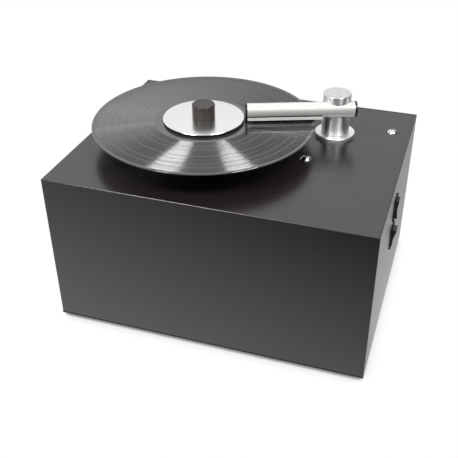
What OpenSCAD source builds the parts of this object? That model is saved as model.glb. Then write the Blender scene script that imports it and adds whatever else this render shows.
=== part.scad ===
// Record cleaning machine: a cabinet of composite panels, a driven platter that carries a clamped
// record, and a suction arm that lifts and swings over it. A tank and a fan inside do the drying.
// Sizes in millimetres, +Z up, front towards -Y. The origin is on the floor, under the middle of
// the whole machine, its switches and its drain tap included.

/* [Cabinet] */
// Width of the cabinet over its side panels
cabinet_w = 430; // [422:1:450]
// Depth of the cabinet from its front face to its rear face
cabinet_d = 337; // [332:1:352]
// Height of the cabinet from its lower edge to its top face
cabinet_h = 218; // [212:1:228]
// Thickness of the composite panels
panel_t = 3; // [2.5:0.5:4]
// Radius of the folded outer edges
fold_r = 1.2; // [0.5:0.1:2]
// Width of the inner corner angles
angle_w = 12; // [10:1:14]
// Thickness of the inner corner angles
angle_t = 1.5; // [1:0.25:2]
// Radius of the shanks of the panel screws
screw_r = 2; // [1.5:0.25:2.5]
// Radius of the heads of the panel screws
screw_head_r = 3.8; // [3.2:0.2:4.4]
// Height of the heads of the panel screws
screw_head_h = 2.2; // [1.6:0.2:2.6]

/* [Feet] */
// Height of the rubber feet
foot_h = 5; // [4:0.5:8]
// Radius of the rubber feet
foot_r = 11; // [9:0.5:14]
// Distance of each foot's axis from the two nearest cabinet faces
foot_inset = 24; // [22:1:34]

/* [Record and clamp] */
// Distance of the spindle from the cabinet's middle, to the right
spindle_dx = -55; // [-58:1:-52]
// Distance of the spindle from the cabinet's middle, to the rear
spindle_dy = -3; // [-6:1:0]
// Radius of the spindle's pin, which centres the record
pin_r = 3.6; // [3.4:0.1:3.8]
// Height of the record's underside above the top panel
record_lift = 29; // [26:1:34]
// Radius of the record
record_r = 150.8; // [148:0.1:152]
// Thickness of the record at its rim and label
record_t = 2; // [1.6:0.1:2.4]
// Depth of the grooved band below the rim and the label
groove_relief = 0.3; // [0.1:0.05:0.5]
// Width of the raised bead along the record's rim
bead_w = 3.5; // [2.5:0.5:5]
// Radius of the label
label_r = 50; // [48:0.5:51]
// Radius of the clamp disc
clamp_r = 55; // [52:0.5:57]
// Thickness of the clamp disc
clamp_t = 1.25; // [1:0.25:3]
// Radius of the rubber pad under the clamp disc
pad_r = 53.5; // [50.5:0.5:54]
// Thickness of the rubber pad
pad_t = 2.75; // [1.5:0.25:3]
// Radius of the clamp knob
knob_r = 15.5; // [14:0.5:18]
// Height of the clamp knob
knob_h = 19.5; // [16:0.5:24]
// Radius of the rounding along the knob's upper edge
knob_edge_r = 1.8; // [1:0.2:3]
// Outer radius of the threaded bush in the clamp
clamp_bush_r = 6; // [5.5:0.25:7]
// Length of the threaded bush in the clamp
clamp_bush_h = 15; // [12:0.5:18]

/* [Platter drive] */
// Radius of the platter
platter_r = 50; // [46:1:54]
// Thickness of the platter disc
platter_t = 6; // [5:0.5:8]
// Radius of the platter's hub
hub_r = 18; // [16:1:22]
// Gap between the hub and the bearing's flange
hub_gap = 1; // [0.5:0.25:2]
// Thickness of the platter mat
mat_t = 2; // [1:0.5:3]
// Radius of the shaft below the platter
shaft_r = 5; // [4.5:0.25:6]
// Outer radius of the spindle bearing
bearing_r = 10; // [9:0.5:12]
// Length of the spindle bearing below the top panel
bearing_drop = 12; // [10:1:14]
// Radius of the bearing's flange
bearing_flange_r = 16; // [14:1:20]
// Thickness of the bearing's flange
bearing_flange_t = 2; // [1.5:0.5:3]
// Radius of the shaft coupling
coupling_r = 9; // [8:0.5:10]
// Length of the shaft coupling
coupling_h = 24; // [20:1:26]
// Radius of the gearbox output shaft
gear_shaft_r = 4; // [3:0.25:4.25]
// Length of the standoffs between the top panel and the motor plate
standoff_h = 42; // [41:1:46]
// Radius of the standoffs
standoff_r = 5; // [4:0.5:6]
// Distance of the standoffs from the spindle along X and along Y
standoff_pitch = 30; // [29:0.5:32]
// Thickness of the motor plate
motor_plate_t = 3; // [2:0.5:4]
// Radius of the gearbox
gearbox_r = 27; // [24:1:29]
// Height of the gearbox
gearbox_h = 28; // [24:1:32]
// Radius of the drive motor
drive_motor_r = 21; // [18:1:24]
// Height of the drive motor
drive_motor_h = 46; // [40:1:52]

/* [Suction arm] */
// Distance of the arm post from the spindle, to the right
post_dx = 167.6; // [166:0.2:172]
// Distance of the arm post from the spindle, to the rear
post_dy = 72.7; // [71:0.1:78]
// Radius of the arm post
post_r = 19.2; // [18.5:0.1:22]
// Height of the post's top above the top panel
post_top = 62; // [58:0.5:66]
// Radius of the flange under the post
flange_r = 27.6; // [25:0.2:30]
// Thickness of the flange under the post
flange_t = 5; // [3:0.5:6]
// Radius of the flange's threaded neck
neck_r = 13; // [12:0.5:14]
// Outer radius of the suction tube
tube_r = 10.6; // [10:0.1:11.5]
// Wall of the suction tube
tube_wall = 1.5; // [1:0.25:2]
// Distance of the tube's axis in front of the post's axis
tube_off = 11.6; // [11:0.1:14]
// Distance by which the tube's axis passes in front of the spindle
aim_front = 2.5; // [0:0.5:3]
// Distance of the tube's tip from the spindle
tip_from_spindle = 55.8; // [55.6:0.1:60]
// Length of the tube behind the post's axis
tail_len = 25; // [22:0.2:28]
// Thickness of the black end caps
cap_t = 3; // [1.5:0.25:3.5]
// Length of the plug that holds an end cap in the tube
cap_plug = 6; // [4:0.5:8]
// Width of the nozzle shoe
shoe_w = 20.8; // [18:0.2:21]
// Height of the nozzle shoe
shoe_h = 7.2; // [5:0.2:7.6]
// Width of the bevel along the shoe's lower edges
shoe_bevel_w = 3; // [2:0.25:3.25]
// Height of the bevel along the shoe's lower edges
shoe_bevel_h = 1.5; // [1:0.1:2]
// Least thickness of the shoe under the tube
shoe_web = 0.5; // [0.4:0.1:1]
// Thickness of the velvet strips
velvet_t = 0.6; // [0.4:0.1:1]
// Width of each velvet strip
velvet_w = 5.5; // [4.5:0.25:5.5]
// Gap between the velvet and the record
velvet_gap = 0.3; // [0.3:0.1:0.5]
// Width of the suction slot
slot_w = 1.6; // [1.2:0.1:2.4]
// Radius on the record at which the slot starts
slot_in_r = 63.5; // [62.5:0.5:66]
// Radius on the record at which the slot ends
slot_out_r = 146; // [140:0.5:147]
// Height by which the arm lifts off the record
lift_travel = 10; // [6:1:12]
// Outer radius of the suction riser
riser_r = 8; // [7:0.25:8.5]
// Wall of the suction riser
riser_wall = 1.2; // [1:0.1:1.6]
// Outer radius of the riser's bush
bush_r = 10.5; // [10:0.25:11]

/* [Tank] */
// Distance of the front tank bolt from the post, to the right
bolt_front_dx = -20.9; // [-24:0.1:-18]
// Distance of the front tank bolt from the post, to the rear
bolt_front_dy = -83.3; // [-88:0.1:-81]
// Distance of the rear tank bolt from the cabinet's right face
bolt_rear_inset = 25.5; // [24:0.5:28]
// Distance of the rear tank bolt from the post, to the rear
bolt_rear_dy = 30.7; // [26:0.1:34]
// Radius of the tank bolts
bolt_r = 3; // [2.5:0.25:3.5]
// Radius of the tank bolts' heads
bolt_head_r = 7.5; // [7:0.25:8.5]
// Height of the tank bolts' heads
bolt_head_h = 4; // [3.5:0.25:5]
// Width across flats of the hexagon socket in the heads
socket_af = 5; // [4:0.5:6]
// Width across flats of the nuts on the tank bolts
nut_af = 10; // [9:0.5:12]
// Height of the nuts on the tank bolts
nut_h = 5; // [4:0.5:6]
// Distance from a tank bolt to the edge of the lid
bolt_margin = 9; // [8:0.5:9.5]
// Wall of the tank
tank_wall = 2.5; // [2:0.25:3]
// Thickness of the tank's lid
lid_t = 4; // [3:0.5:5]
// Thickness of the gasket under the lid
gasket_t = 1.5; // [1:0.25:2]
// Thickness of the tank's rim
rim_t = 3; // [2.5:0.5:4]
// Thickness of the rubber pad under the tank
tank_pad_t = 4; // [3:0.5:6]
// Depth of the splash baffle below the lid
baffle_h = 70; // [55:5:90]

/* [Vacuum] */
// Distance of the fan's axis behind the post's axis
fan_dy = 15; // [14:0.5:16]
// Depth of the fan's axis below the inside of the top panel
fan_drop = 72; // [68:1:76]
// Outer radius of the fan shroud
shroud_r = 58; // [55:0.5:59]
// Width of the fan shroud
shroud_w = 36; // [32:1:38]
// Wall of the fan shroud
shroud_wall = 2; // [1.5:0.25:2.5]
// Radius of the fan impeller
impeller_r = 49; // [46:0.5:51]
// Number of impeller blades
blade_count = 9; // [7:1:12]
// Thickness of the impeller's discs and blades
impeller_t = 1.5; // [1:0.25:2]
// Radius of the fan shaft
fan_shaft_r = 4; // [3:0.25:5]
// Radius of the vacuum motor
vac_motor_r = 42; // [38:1:44]
// Length of the vacuum motor
vac_motor_len = 62; // [54:1:66]
// Radius of the motor's end bell
end_bell_r = 30; // [26:1:34]
// Length of the motor's end bell
end_bell_len = 14; // [10:1:16]
// Distance from the left panel to the motor's end
vac_gap = 26; // [20:1:30]
// Thickness of the rubber rings round the motor
ring_t = 4; // [3:0.5:5]
// Width of the rubber rings
ring_w = 8; // [6:1:10]
// Thickness of the cradle's uprights
cradle_t = 3; // [2:0.5:4]
// Width of the cradle
cradle_w = 104; // [98:1:110]
// Outer radius of the air nozzles
nozzle_r = 16; // [14:0.5:17]
// Wall of the air nozzles
nozzle_wall = 2; // [1.5:0.25:2.5]
// Length of the air nozzles
nozzle_len = 14; // [12:1:16]
// Wall of the air hose
hose_wall = 1.6; // [1.2:0.1:2]
// Height of the air hose's ribs
rib_h = 1.4; // [1:0.1:2]
// Number of the air hose's ribs
rib_count = 14; // [8:1:18]
// Thickness of the hose clips
clip_t = 1.5; // [1:0.25:2]
// Width of the hose clips
clip_w = 7; // [5:1:9]
// Height of the exhaust opening
exhaust_h = 52; // [44:1:56]
// Wall of the exhaust sleeve
sleeve_wall = 3; // [2:0.5:4]

/* [Rear panel] */
// Number of vent slots in a column
vent_rows = 8; // [5:1:8]
// Number of vent columns
vent_cols = 3; // [2:1:3]
// Height of a vent slot
vent_slot_h = 3; // [2:0.25:3.5]
// Distance from one vent slot to the next
vent_pitch = 6.4; // [6:0.1:6.5]
// Distance from one vent column to the next
vent_col_pitch = 36; // [34:1:38]
// Distance of the mains inlet from the cabinet's middle, to the right
inlet_dx = 30; // [20:1:34]
// Height of the mains inlet above the base panel
inlet_up = 52; // [44:1:64]
// Radius of the drain spigot
spigot_r = 5; // [4.5:0.25:6]
// Length of the drain spigot
spigot_len = 14; // [12:1:16]
// Radius of the drain tap's body
tap_r = 8; // [7.5:0.25:9]
// Length of the drain tap's body
tap_len = 14; // [13:0.5:18]
// Length of the drain lever
lever_len = 26; // [22:1:32]

/* [Switches] */
// Distance of the switches from the cabinet's middle, to the rear
switch_dy = -17.5; // [-20:0.5:-15]
// Depth of the upper switch below the top face
switch_drop = 49.5; // [42:0.5:53]
// Distance from the upper switch down to the lower one
switch_pitch = 44.3; // [40:0.1:48]
// Width of a switch frame
bezel_w = 21; // [20:0.5:23]
// Height of a switch frame
bezel_h = 33; // [32.5:0.5:35]
// Thickness of a switch frame
bezel_t = 2; // [1.5:0.25:2.5]
// Depth of a switch housing behind the panel's outer face
housing_depth = 19; // [17:0.5:20]
// Half the height of a rocker
rocker_half = 13; // [12.5:0.1:13.2]
// Width of a rocker
rocker_w = 14; // [13:0.5:14.5]
// Height of a rocker's ends above its pivot
rocker_end = 5; // [4:0.25:5.5]
// Depth of the dip in a rocker's middle
rocker_dip = 1.2; // [0.8:0.1:1.6]
// Angle to which a rocker tips
rocker_tilt = 10; // [8:0.5:11]

/* [Front] */
// Distance of the indicator from the cabinet's middle, to the right
lamp_dx = 110.7; // [100:0.1:120]
// Depth of the indicator below the top face
lamp_drop = 21.5; // [14:0.5:28]
// Radius of the indicator's lens
lamp_r = 1; // [0.8:0.1:1.5]

/* [Hidden] */
$fn = 72;

// Gap of parts pressed or screwed together
fit_gap = 0.05;
// Radial gap of parts that turn or slide in each other
run_gap = 0.05;
// Gap of a loose hole round a part
loose_gap = 0.3;
// Overlap that makes a cut pass clean through a face
over = 1;

// Whole machine: the rear tap and the tipped rocker stand out, so the cabinet is moved off centre
tap_flange_t = 3;
tap_flange_r = 12;
rear_proud = tap_flange_t + tap_len + spigot_len;
side_proud = rocker_end * cos(rocker_tilt) + rocker_half * sin(rocker_tilt);
cab_cx = -side_proud / 2;
cab_cy = -rear_proud / 2;
left = cab_cx - cabinet_w / 2;
right = cab_cx + cabinet_w / 2;
front = cab_cy - cabinet_d / 2;
rear = cab_cy + cabinet_d / 2;
top_z = foot_h + cabinet_h;
in_left = left + panel_t;
in_right = right - panel_t;
in_front = front + panel_t;
in_rear = rear - panel_t;
in_top = top_z - panel_t;
base_z = foot_h + panel_t;

// Corner angles and their screws
angle_mid = angle_t + (angle_w - angle_t) / 2;
screw_hole_r = screw_r + fit_gap;
rear_screw_z = [base_z + 20, (base_z + in_top) / 2, in_top - 32];
rail_screw_y = [in_front + angle_w + 24, (in_front + in_rear) / 2, in_rear - angle_w - 24];
top_rail_screw_x = [in_left + angle_w + 70, cab_cx, in_right - angle_w - 70];
screw_len = panel_t + angle_t + 3;
// Rubber left above a foot's screw head
foot_seat_t = 1.8;

// Record, platter and clamp
spindle_x = cab_cx + spindle_dx;
spindle_y = cab_cy + spindle_dy;
record_z = top_z + record_lift;
record_top = record_z + record_t;
platter_z = record_z - mat_t - platter_t;
hub_z = top_z + bearing_flange_t + hub_gap;
clamp_z = record_top + pad_t;
knob_z = clamp_z + clamp_t;
pin_top = knob_z + clamp_bush_h - clamp_t - 1;
coupling_z = in_top - bearing_drop - coupling_h - 2;
shaft_joint_z = coupling_z + coupling_h / 2;
motor_plate_z = in_top - standoff_h - motor_plate_t;
gearbox_z = motor_plate_z - gearbox_h;
shaft_depth = 18;
plate_half = standoff_pitch + standoff_r + 1;
// Length of the plate screws' thread in the standoffs
plate_thread = 8;

// Suction arm, in a frame turned to the tube's own direction
post_x = spindle_x + post_dx;
post_y = spindle_y + post_dy;
arm_reach = sqrt(post_dx * post_dx + post_dy * post_dy);
arm_aside = tube_off - aim_front;
arm_angle = atan2(post_dy, post_dx) - asin(arm_aside / arm_reach);
arm_along = sqrt(arm_reach * arm_reach - arm_aside * arm_aside);
tip_x = -(arm_along - tip_from_spindle);
shoe_z = record_top + velvet_gap + velvet_t;
tube_z = shoe_z + shoe_web + tube_r;
shoe_end_x = -(post_r + 3);
post_z = top_z + flange_t + loose_gap;
riser_top = tube_z - tube_r - 2.4;
lid_z = in_top - lid_t;
flange_nut_h = 6;
flange_nut_af = 34;
neck_z = lid_z - flange_nut_h - 2;
collar_t = 3;
collar_r = riser_r + 4;
collar_z = neck_z - lift_travel - loose_gap - collar_t;
riser_z = collar_z - 12;
grub_r = 2.5;

// Tank between the top panel and the base panel, hung from two bolts
bolt_a = [post_x + bolt_front_dx, post_y + bolt_front_dy];
bolt_b = [right - bolt_rear_inset, post_y + bolt_rear_dy];
tank_x0 = bolt_a[0] - bolt_margin;
tank_x1 = bolt_b[0] - bolt_margin;
tank_y0 = bolt_a[1] - bolt_margin;
tank_y1 = bolt_b[1] + bolt_margin;
lid_x1 = bolt_b[0] + bolt_margin;
tank_notch = 2 * bolt_margin;
gasket_z = lid_z - gasket_t;
rim_z = gasket_z - rim_t;
tank_z = base_z + tank_pad_t;
bolt_hole_r = bolt_r + fit_gap;
drain_x = (tank_x0 + tank_x1) / 2;
drain_z = tank_z + tank_wall + tap_flange_r;
drain_bore_r = spigot_r - 1.5;
baffle_len = 49;
baffle_t = 1.5;
baffle_flange_w = 4;
baffle_gap = 3;

// Vacuum unit on an axis along X
fan_y = post_y + fan_dy;
fan_z = in_top - fan_drop;
vac_x0 = in_left + vac_gap;
motor_x0 = vac_x0 + end_bell_len;
shroud_x0 = motor_x0 + vac_motor_len;
shroud_x1 = shroud_x0 + shroud_w;
fan_mid_x = (shroud_x0 + shroud_x1) / 2;
impeller_w = shroud_w - 2 * shroud_wall - 8;
impeller_x = shroud_x0 + shroud_wall + 4;
eye_r = nozzle_r - nozzle_wall;
hose_r = nozzle_r + fit_gap + hose_wall;
hose_x0 = shroud_x1 + 1;
hose_x1 = tank_x0 - 1;
cradle_x = [motor_x0 + 10, motor_x0 + vac_motor_len - 10 - cradle_t];
cradle_foot_t = 2;
cradle_bore_r = vac_motor_r + ring_t + fit_gap;
vent_w = shroud_w - 2 * sleeve_wall - 4;

// Control board on the base panel
board_w = 96;
board_d = 72;
board_t = 1.6;
board_x = cab_cx - 20;
board_y = in_front + 30 + board_d / 2;
board_lift = 8;
board_z = base_z + board_lift;
board_post_dx = board_w / 2 - 6;
board_post_dy = board_d / 2 - 6;
// Pieces on the board: middle in X and Y from the board's own middle, then width, depth, height
board_blocks = [
    [-20, 0, 40, 36, 32],
    [20, -14, 16, 16, 16],
    [20, 8, 16, 16, 16],
    [36, 0, 10, 48, 12]
];
capacitor_at = [8, -20];
capacitor_r = 6;
capacitor_h = 24;

// Mains inlet with its fuse drawer
inlet_x = cab_cx + inlet_dx;
inlet_z = base_z + inlet_up;
inlet_w = 50;
inlet_h = 30;
inlet_t = 2.5;
inlet_depth = 26;
inlet_edge = 4;
inlet_frame = 4;
socket_w = 24;
socket_h = 16.4;
socket_depth = 18;
socket_x = inlet_x - inlet_w / 2 + inlet_edge + socket_w / 2;
pin_len = 12;
drawer_w = 11;
drawer_h = 23;
drawer_depth = 22;
drawer_x = inlet_x + inlet_w / 2 - inlet_edge - drawer_w / 2;
drawer_lip = 1.2;
drawer_rim = 0.8;

// Rocker switches on the right panel
switch_y = cab_cy + switch_dy;
upper_switch_z = top_z - switch_drop;
lower_switch_z = upper_switch_z - switch_pitch;
housing_w = bezel_w - 3;
housing_h = bezel_h - 2;
well_w = rocker_w + 2 * loose_gap;
well_h = 2 * (rocker_half * cos(rocker_tilt) + rocker_end * sin(rocker_tilt) + loose_gap);
well_depth = 4.5;
trunnion_r = 1.5;
trunnion_len = 1;

// Points of an arc, for round stretches of an outline
function arc(c, r, a0, a1, n = 8) =
    [for (i = [0:n]) c + r * [cos(a0 + (a1 - a0) * i / n), sin(a0 + (a1 - a0) * i / n)]];

// Extrusions along each axis: the outline's own axes are (y, z), (x, z) and (x, y)
module along_x(x0, x1) {
    translate([x0, 0, 0]) rotate([90, 0, 90]) linear_extrude(x1 - x0) children();
}

module along_y(y0, y1) {
    translate([0, y1, 0]) rotate([90, 0, 0]) linear_extrude(y1 - y0) children();
}

module along_z(z0, z1) {
    translate([0, 0, z0]) linear_extrude(z1 - z0) children();
}

// A cylinder from one end to the other along X, Y or Z
module rod_x(r, x0, x1) {
    translate([x0, 0, 0]) rotate([0, 90, 0]) cylinder(r = r, h = x1 - x0);
}

module rod_y(r, y0, y1) {
    translate([0, y1, 0]) rotate([90, 0, 0]) cylinder(r = r, h = y1 - y0);
}

module rod_z(r, z0, z1) {
    translate([0, 0, z0]) cylinder(r = r, h = z1 - z0);
}

// A box given by its lowest and highest corners
module box(lo, hi) {
    translate(lo) cube(hi - lo);
}

module hex_z(af, z0, z1) {
    translate([0, 0, z0]) cylinder(r = af / 2 / cos(30), h = z1 - z0, $fn = 6);
}

module at_spindle() {
    translate([spindle_x, spindle_y, 0]) children();
}

module at_arm() {
    translate([post_x, post_y, 0]) rotate([0, 0, arm_angle]) children();
}

module at_tube() {
    at_arm() translate([0, -tube_off, tube_z]) children();
}

module at_fan() {
    translate([0, fan_y, fan_z]) children();
}

// What the round cutter of a folded edge takes away, for a corner at the outline's origin
module corner_notch() {
    difference() {
        translate([-over, -over]) square(fold_r + over);
        translate([fold_r, fold_r]) circle(fold_r);
    }
}

module folded_edges() {
    along_z(foot_h - over, top_z + over) {
        translate([left, front]) corner_notch();
        translate([right, front]) mirror([1, 0]) corner_notch();
    }
    along_x(left - over, right + over) translate([front, top_z]) mirror([0, 1]) corner_notch();
    along_y(front - over, rear + over) {
        translate([left, top_z]) mirror([0, 1]) corner_notch();
        translate([right, top_z]) rotate(180) corner_notch();
    }
}

// The cabinet's panels, mitred where two folded faces meet
module front_panel() color([0.27, 0.27, 0.28]) difference() {
    intersection() {
        along_z(base_z, top_z)
            polygon([[left, front], [right, front], [in_right, in_front], [in_left, in_front]]);
        along_x(left, right)
            polygon([[front, base_z], [in_front, base_z], [in_front, in_top], [front, top_z]]);
    }
    folded_edges();
    translate([cab_cx + lamp_dx, 0, top_z - lamp_drop])
        rod_y(lamp_r + fit_gap, front - over, in_front + over);
}

module top_panel() color([0.27, 0.27, 0.28]) difference() {
    intersection() {
        along_y(front, in_rear)
            polygon([[left, top_z], [right, top_z], [in_right, in_top], [in_left, in_top]]);
        along_x(left, right)
            polygon([[front, top_z], [in_rear, top_z], [in_rear, in_top], [in_front, in_top]]);
    }
    folded_edges();
    at_spindle() rod_z(bearing_r + fit_gap, in_top - over, top_z + over);
    translate([post_x, post_y, 0]) rod_z(neck_r + fit_gap, in_top - over, top_z + over);
    for (b = [bolt_a, bolt_b])
        translate(b) rod_z(bolt_hole_r, in_top - over, top_z + over);
}

// A side panel, drawn for the right and mirrored for the left
module side_panel(outer, inner) difference() {
    intersection() {
        along_z(base_z, top_z)
            polygon([[outer, front], [outer, in_rear], [inner, in_rear], [inner, in_front]]);
        along_y(front, in_rear)
            polygon([[outer, base_z], [outer, top_z], [inner, in_top], [inner, base_z]]);
    }
    folded_edges();
}

module left_panel() color([0.27, 0.27, 0.28]) side_panel(left, in_left);

module right_panel() color([0.5, 0.5, 0.51]) difference() {
    side_panel(right, in_right);
    for (z = [upper_switch_z, lower_switch_z])
        box(
            [in_right - over, switch_y - housing_w / 2 - fit_gap, z - housing_h / 2 - fit_gap],
            [right + over, switch_y + housing_w / 2 + fit_gap, z + housing_h / 2 + fit_gap]
        );
}

module rear_panel() color([0.2, 0.2, 0.21]) difference() {
    box([left, in_rear, foot_h], [right, rear, top_z]);
    // Vent slots behind the fan and the motor
    for (c = [0:vent_cols - 1], r = [0:vent_rows - 1])
        translate([
            fan_mid_x - c * vent_col_pitch - vent_w / 2,
            in_rear - over,
            fan_z + (r - (vent_rows - 1) / 2) * vent_pitch - vent_slot_h / 2
        ])
            cube([vent_w, panel_t + 2 * over, vent_slot_h]);
    // Cut-out of the mains inlet
    along_y(in_rear - over, rear + over) translate([inlet_x, inlet_z])
        square([inlet_w - inlet_frame + 2 * fit_gap, inlet_h - inlet_frame + 2 * fit_gap], center = true);
    translate([drain_x, 0, drain_z]) rod_y(tap_r + fit_gap, in_rear - over, rear + over);
    at_rear_screws() rod_y(screw_hole_r, in_rear - over, rear + over);
}

module base_panel() color([0.2, 0.2, 0.21]) difference() {
    box([left, front, foot_h], [right, in_rear, base_z]);
    at_base_screws() rod_z(screw_hole_r, foot_h - over, base_z + over);
    at_feet() rod_z(screw_hole_r, foot_h - over, base_z + over);
}

// Where the screws of the rear panel, the base panel and the feet go
module at_rear_screws() {
    for (x = [in_left + angle_mid, in_right - angle_mid], z = rear_screw_z)
        translate([x, 0, z]) children();
    for (x = top_rail_screw_x)
        translate([x, 0, in_top - angle_mid]) children();
}

module at_rail_screws() {
    for (x = [in_left + angle_mid, in_right - angle_mid], y = rail_screw_y)
        translate([x, y, 0]) children();
}

module at_cradle_screws() {
    for (x = [cradle_x[0] - 12, cradle_x[1] + cradle_t + 12], s = [-1, 1])
        translate([x, fan_y + s * (cradle_w / 2 - 14), 0]) children();
}

module at_board_posts() {
    for (sx = [-1, 1], sy = [-1, 1])
        translate([board_x + sx * board_post_dx, board_y + sy * board_post_dy, 0]) children();
}

module at_base_screws() {
    at_rail_screws() children();
    at_cradle_screws() children();
    at_board_posts() children();
}

module at_feet() {
    for (x = [left + foot_inset, right - foot_inset], y = [front + foot_inset, rear - foot_inset])
        translate([x, y, 0]) children();
}

// Upright angles in the four corners, glued to the panels
module corner_angles() color("silver") difference() {
    for (sx = [0, 1], sy = [0, 1])
        translate([sx ? in_right : in_left, sy ? in_rear : in_front, 0])
            mirror([sx, 0, 0]) mirror([0, sy, 0])
                along_z(base_z, in_top) angle_outline();
    at_rear_screws() rod_y(screw_hole_r, in_rear - angle_w, in_rear + over);
}

module angle_outline() {
    square([angle_w, angle_t]);
    square([angle_t, angle_w]);
}

// Rails along the base panel's sides and along the top panel's rear edge
module rails() color("silver") difference() {
    union() {
        for (s = [0, 1])
            translate([s ? in_right : in_left, 0, base_z]) mirror([s, 0, 0])
                along_y(in_front + angle_w, in_rear - angle_w) angle_outline();
        translate([0, in_rear, in_top]) mirror([0, 1, 0]) mirror([0, 0, 1])
            along_x(in_left + angle_w, in_right - angle_w) angle_outline();
    }
    at_rail_screws() rod_z(screw_hole_r, base_z - over, base_z + angle_w);
    at_rear_screws() rod_y(screw_hole_r, in_rear - angle_w, in_rear + over);
}

// A pan-head screw whose head's underside is at the origin and whose shank points along +Z
module pan_screw(len) difference() {
    union() {
        rod_z(screw_r, 0, len);
        intersection() {
            rod_z(screw_head_r, -screw_head_h, 0);
            translate([0, 0, dome_r - screw_head_h]) sphere(dome_r);
        }
    }
    translate([0, 0, -screw_head_h]) hex_z(2.5, -over, 1.3);
}

dome_r = (screw_head_r * screw_head_r + screw_head_h * screw_head_h) / (2 * screw_head_h) + 0.8;

// Screws of the rear panel, the base panel and the feet
module panel_screws() color("dimgray") {
    at_rear_screws() translate([0, rear, 0]) rotate([90, 0, 0]) pan_screw(screw_len);
    at_feet() translate([0, 0, foot_h - foot_seat_t]) pan_screw(foot_seat_t + panel_t + 3);
    at_rail_screws() translate([0, 0, foot_h]) pan_screw(screw_len);
    at_cradle_screws() translate([0, 0, foot_h]) pan_screw(panel_t + cradle_foot_t + 3);
    at_board_posts() translate([0, 0, foot_h]) pan_screw(panel_t + board_lift - 1);
}

module rubber_feet() color([0.08, 0.08, 0.08]) at_feet() difference() {
    rotate_extrude() polygon([
        [0, foot_h], [foot_r, foot_h], [foot_r, 1], [foot_r - 1, 0], [0, 0]
    ]);
    rod_z(screw_hole_r, -over, foot_h + over);
    rod_z(screw_head_r + loose_gap, -over, foot_h - foot_seat_t);
}

module indicator_lens() color([0.1, 0.1, 0.12])
    translate([cab_cx + lamp_dx, 0, top_z - lamp_drop]) {
        rod_y(lamp_r, front, in_front);
        rod_y(2.5, in_front, in_front + 6);
    }

// Platter drive
module spindle_bearing() color("goldenrod") at_spindle() difference() {
    union() {
        rod_z(bearing_r, in_top - bearing_drop, top_z + bearing_flange_t);
        rod_z(bearing_flange_r, top_z, top_z + bearing_flange_t);
    }
    rod_z(shaft_r + run_gap, in_top - bearing_drop - over, top_z + bearing_flange_t + over);
}

module platter_spindle() color("silver") at_spindle() {
    rod_z(shaft_r, shaft_joint_z, record_z - mat_t);
    rod_z(pin_r, record_z - mat_t, pin_top - 1);
    translate([0, 0, pin_top - 1]) cylinder(r1 = pin_r, r2 = pin_r - 1, h = 1);
    rod_z(gear_shaft_r, gearbox_z + gearbox_h - shaft_depth, shaft_joint_z);
}

module platter() color("silver") at_spindle() difference() {
    rotate_extrude() polygon([
        [0, hub_z], [hub_r, hub_z], [hub_r, platter_z - 3], [hub_r + 3, platter_z],
        [platter_r - 1, platter_z], [platter_r, platter_z + 1],
        [platter_r, platter_z + platter_t], [0, platter_z + platter_t]
    ]);
    rod_z(shaft_r + fit_gap, hub_z - over, record_z + over);
}

module platter_mat() color([0.15, 0.15, 0.15]) at_spindle() difference() {
    rod_z(platter_r, record_z - mat_t, record_z);
    rod_z(shaft_r + fit_gap, record_z - mat_t - over, record_z + over);
}

// The record: raised label and rim with the grooved band lower between them
module vinyl_record() color([0.07, 0.07, 0.08]) at_spindle() rotate_extrude($fn = 180) polygon([
    [pin_r + fit_gap, record_z], [label_r, record_z],
    [label_r + 1.5, record_z + groove_relief],
    [record_r - bead_w, record_z + groove_relief],
    [record_r - bead_w + 1.5, record_z],
    [record_r - 0.6, record_z],
    [record_r, record_z + 0.6],
    [record_r, record_top - 0.6],
    [record_r - 0.6, record_top],
    [record_r - bead_w + 1.5, record_top],
    [record_r - bead_w, record_top - groove_relief],
    [label_r + 1.5, record_top - groove_relief],
    [label_r, record_top], [pin_r + fit_gap, record_top]
]);

// Clamp, screwed down on the spindle's pin
module clamp_pad() color([0.05, 0.05, 0.05]) at_spindle() difference() {
    rod_z(pad_r, record_top, clamp_z);
    rod_z(clamp_bush_r + fit_gap, record_top - over, clamp_z + over);
}

module clamp_disc() color([0.85, 0.85, 0.86]) at_spindle() difference() {
    rotate_extrude($fn = 120) polygon([
        [0, clamp_z], [clamp_r - 0.4, clamp_z], [clamp_r, clamp_z + 0.4],
        [clamp_r, knob_z - 0.4], [clamp_r - 0.4, knob_z], [0, knob_z]
    ]);
    rod_z(clamp_bush_r + fit_gap, clamp_z - over, knob_z + over);
}

module clamp_bush() color("goldenrod") at_spindle() difference() {
    rod_z(clamp_bush_r, clamp_z, clamp_z + clamp_bush_h);
    rod_z(pin_r + run_gap, clamp_z - over, clamp_z + clamp_bush_h + over);
}

module clamp_knob() color([0.2, 0.19, 0.18]) at_spindle() difference() {
    rotate_extrude() polygon(concat(
        [[0, knob_z], [knob_r - 0.5, knob_z], [knob_r, knob_z + 0.5]],
        arc([knob_r - knob_edge_r, knob_z + knob_h - knob_edge_r], knob_edge_r, 0, 90),
        [[knob_r - knob_edge_r - 2, knob_z + knob_h - 0.5], [0, knob_z + knob_h - 0.7]]
    ));
    rod_z(clamp_bush_r + fit_gap, knob_z - over, clamp_z + clamp_bush_h + fit_gap);
}

module shaft_coupling() color("gray") at_spindle() difference() {
    rod_z(coupling_r, coupling_z, coupling_z + coupling_h);
    rod_z(shaft_r + fit_gap, shaft_joint_z, coupling_z + coupling_h + over);
    rod_z(gear_shaft_r + fit_gap, coupling_z - over, shaft_joint_z + over);
}

module at_standoffs() {
    at_spindle() for (sx = [-1, 1], sy = [-1, 1])
        translate([sx * standoff_pitch, sy * standoff_pitch, 0]) children();
}

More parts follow.
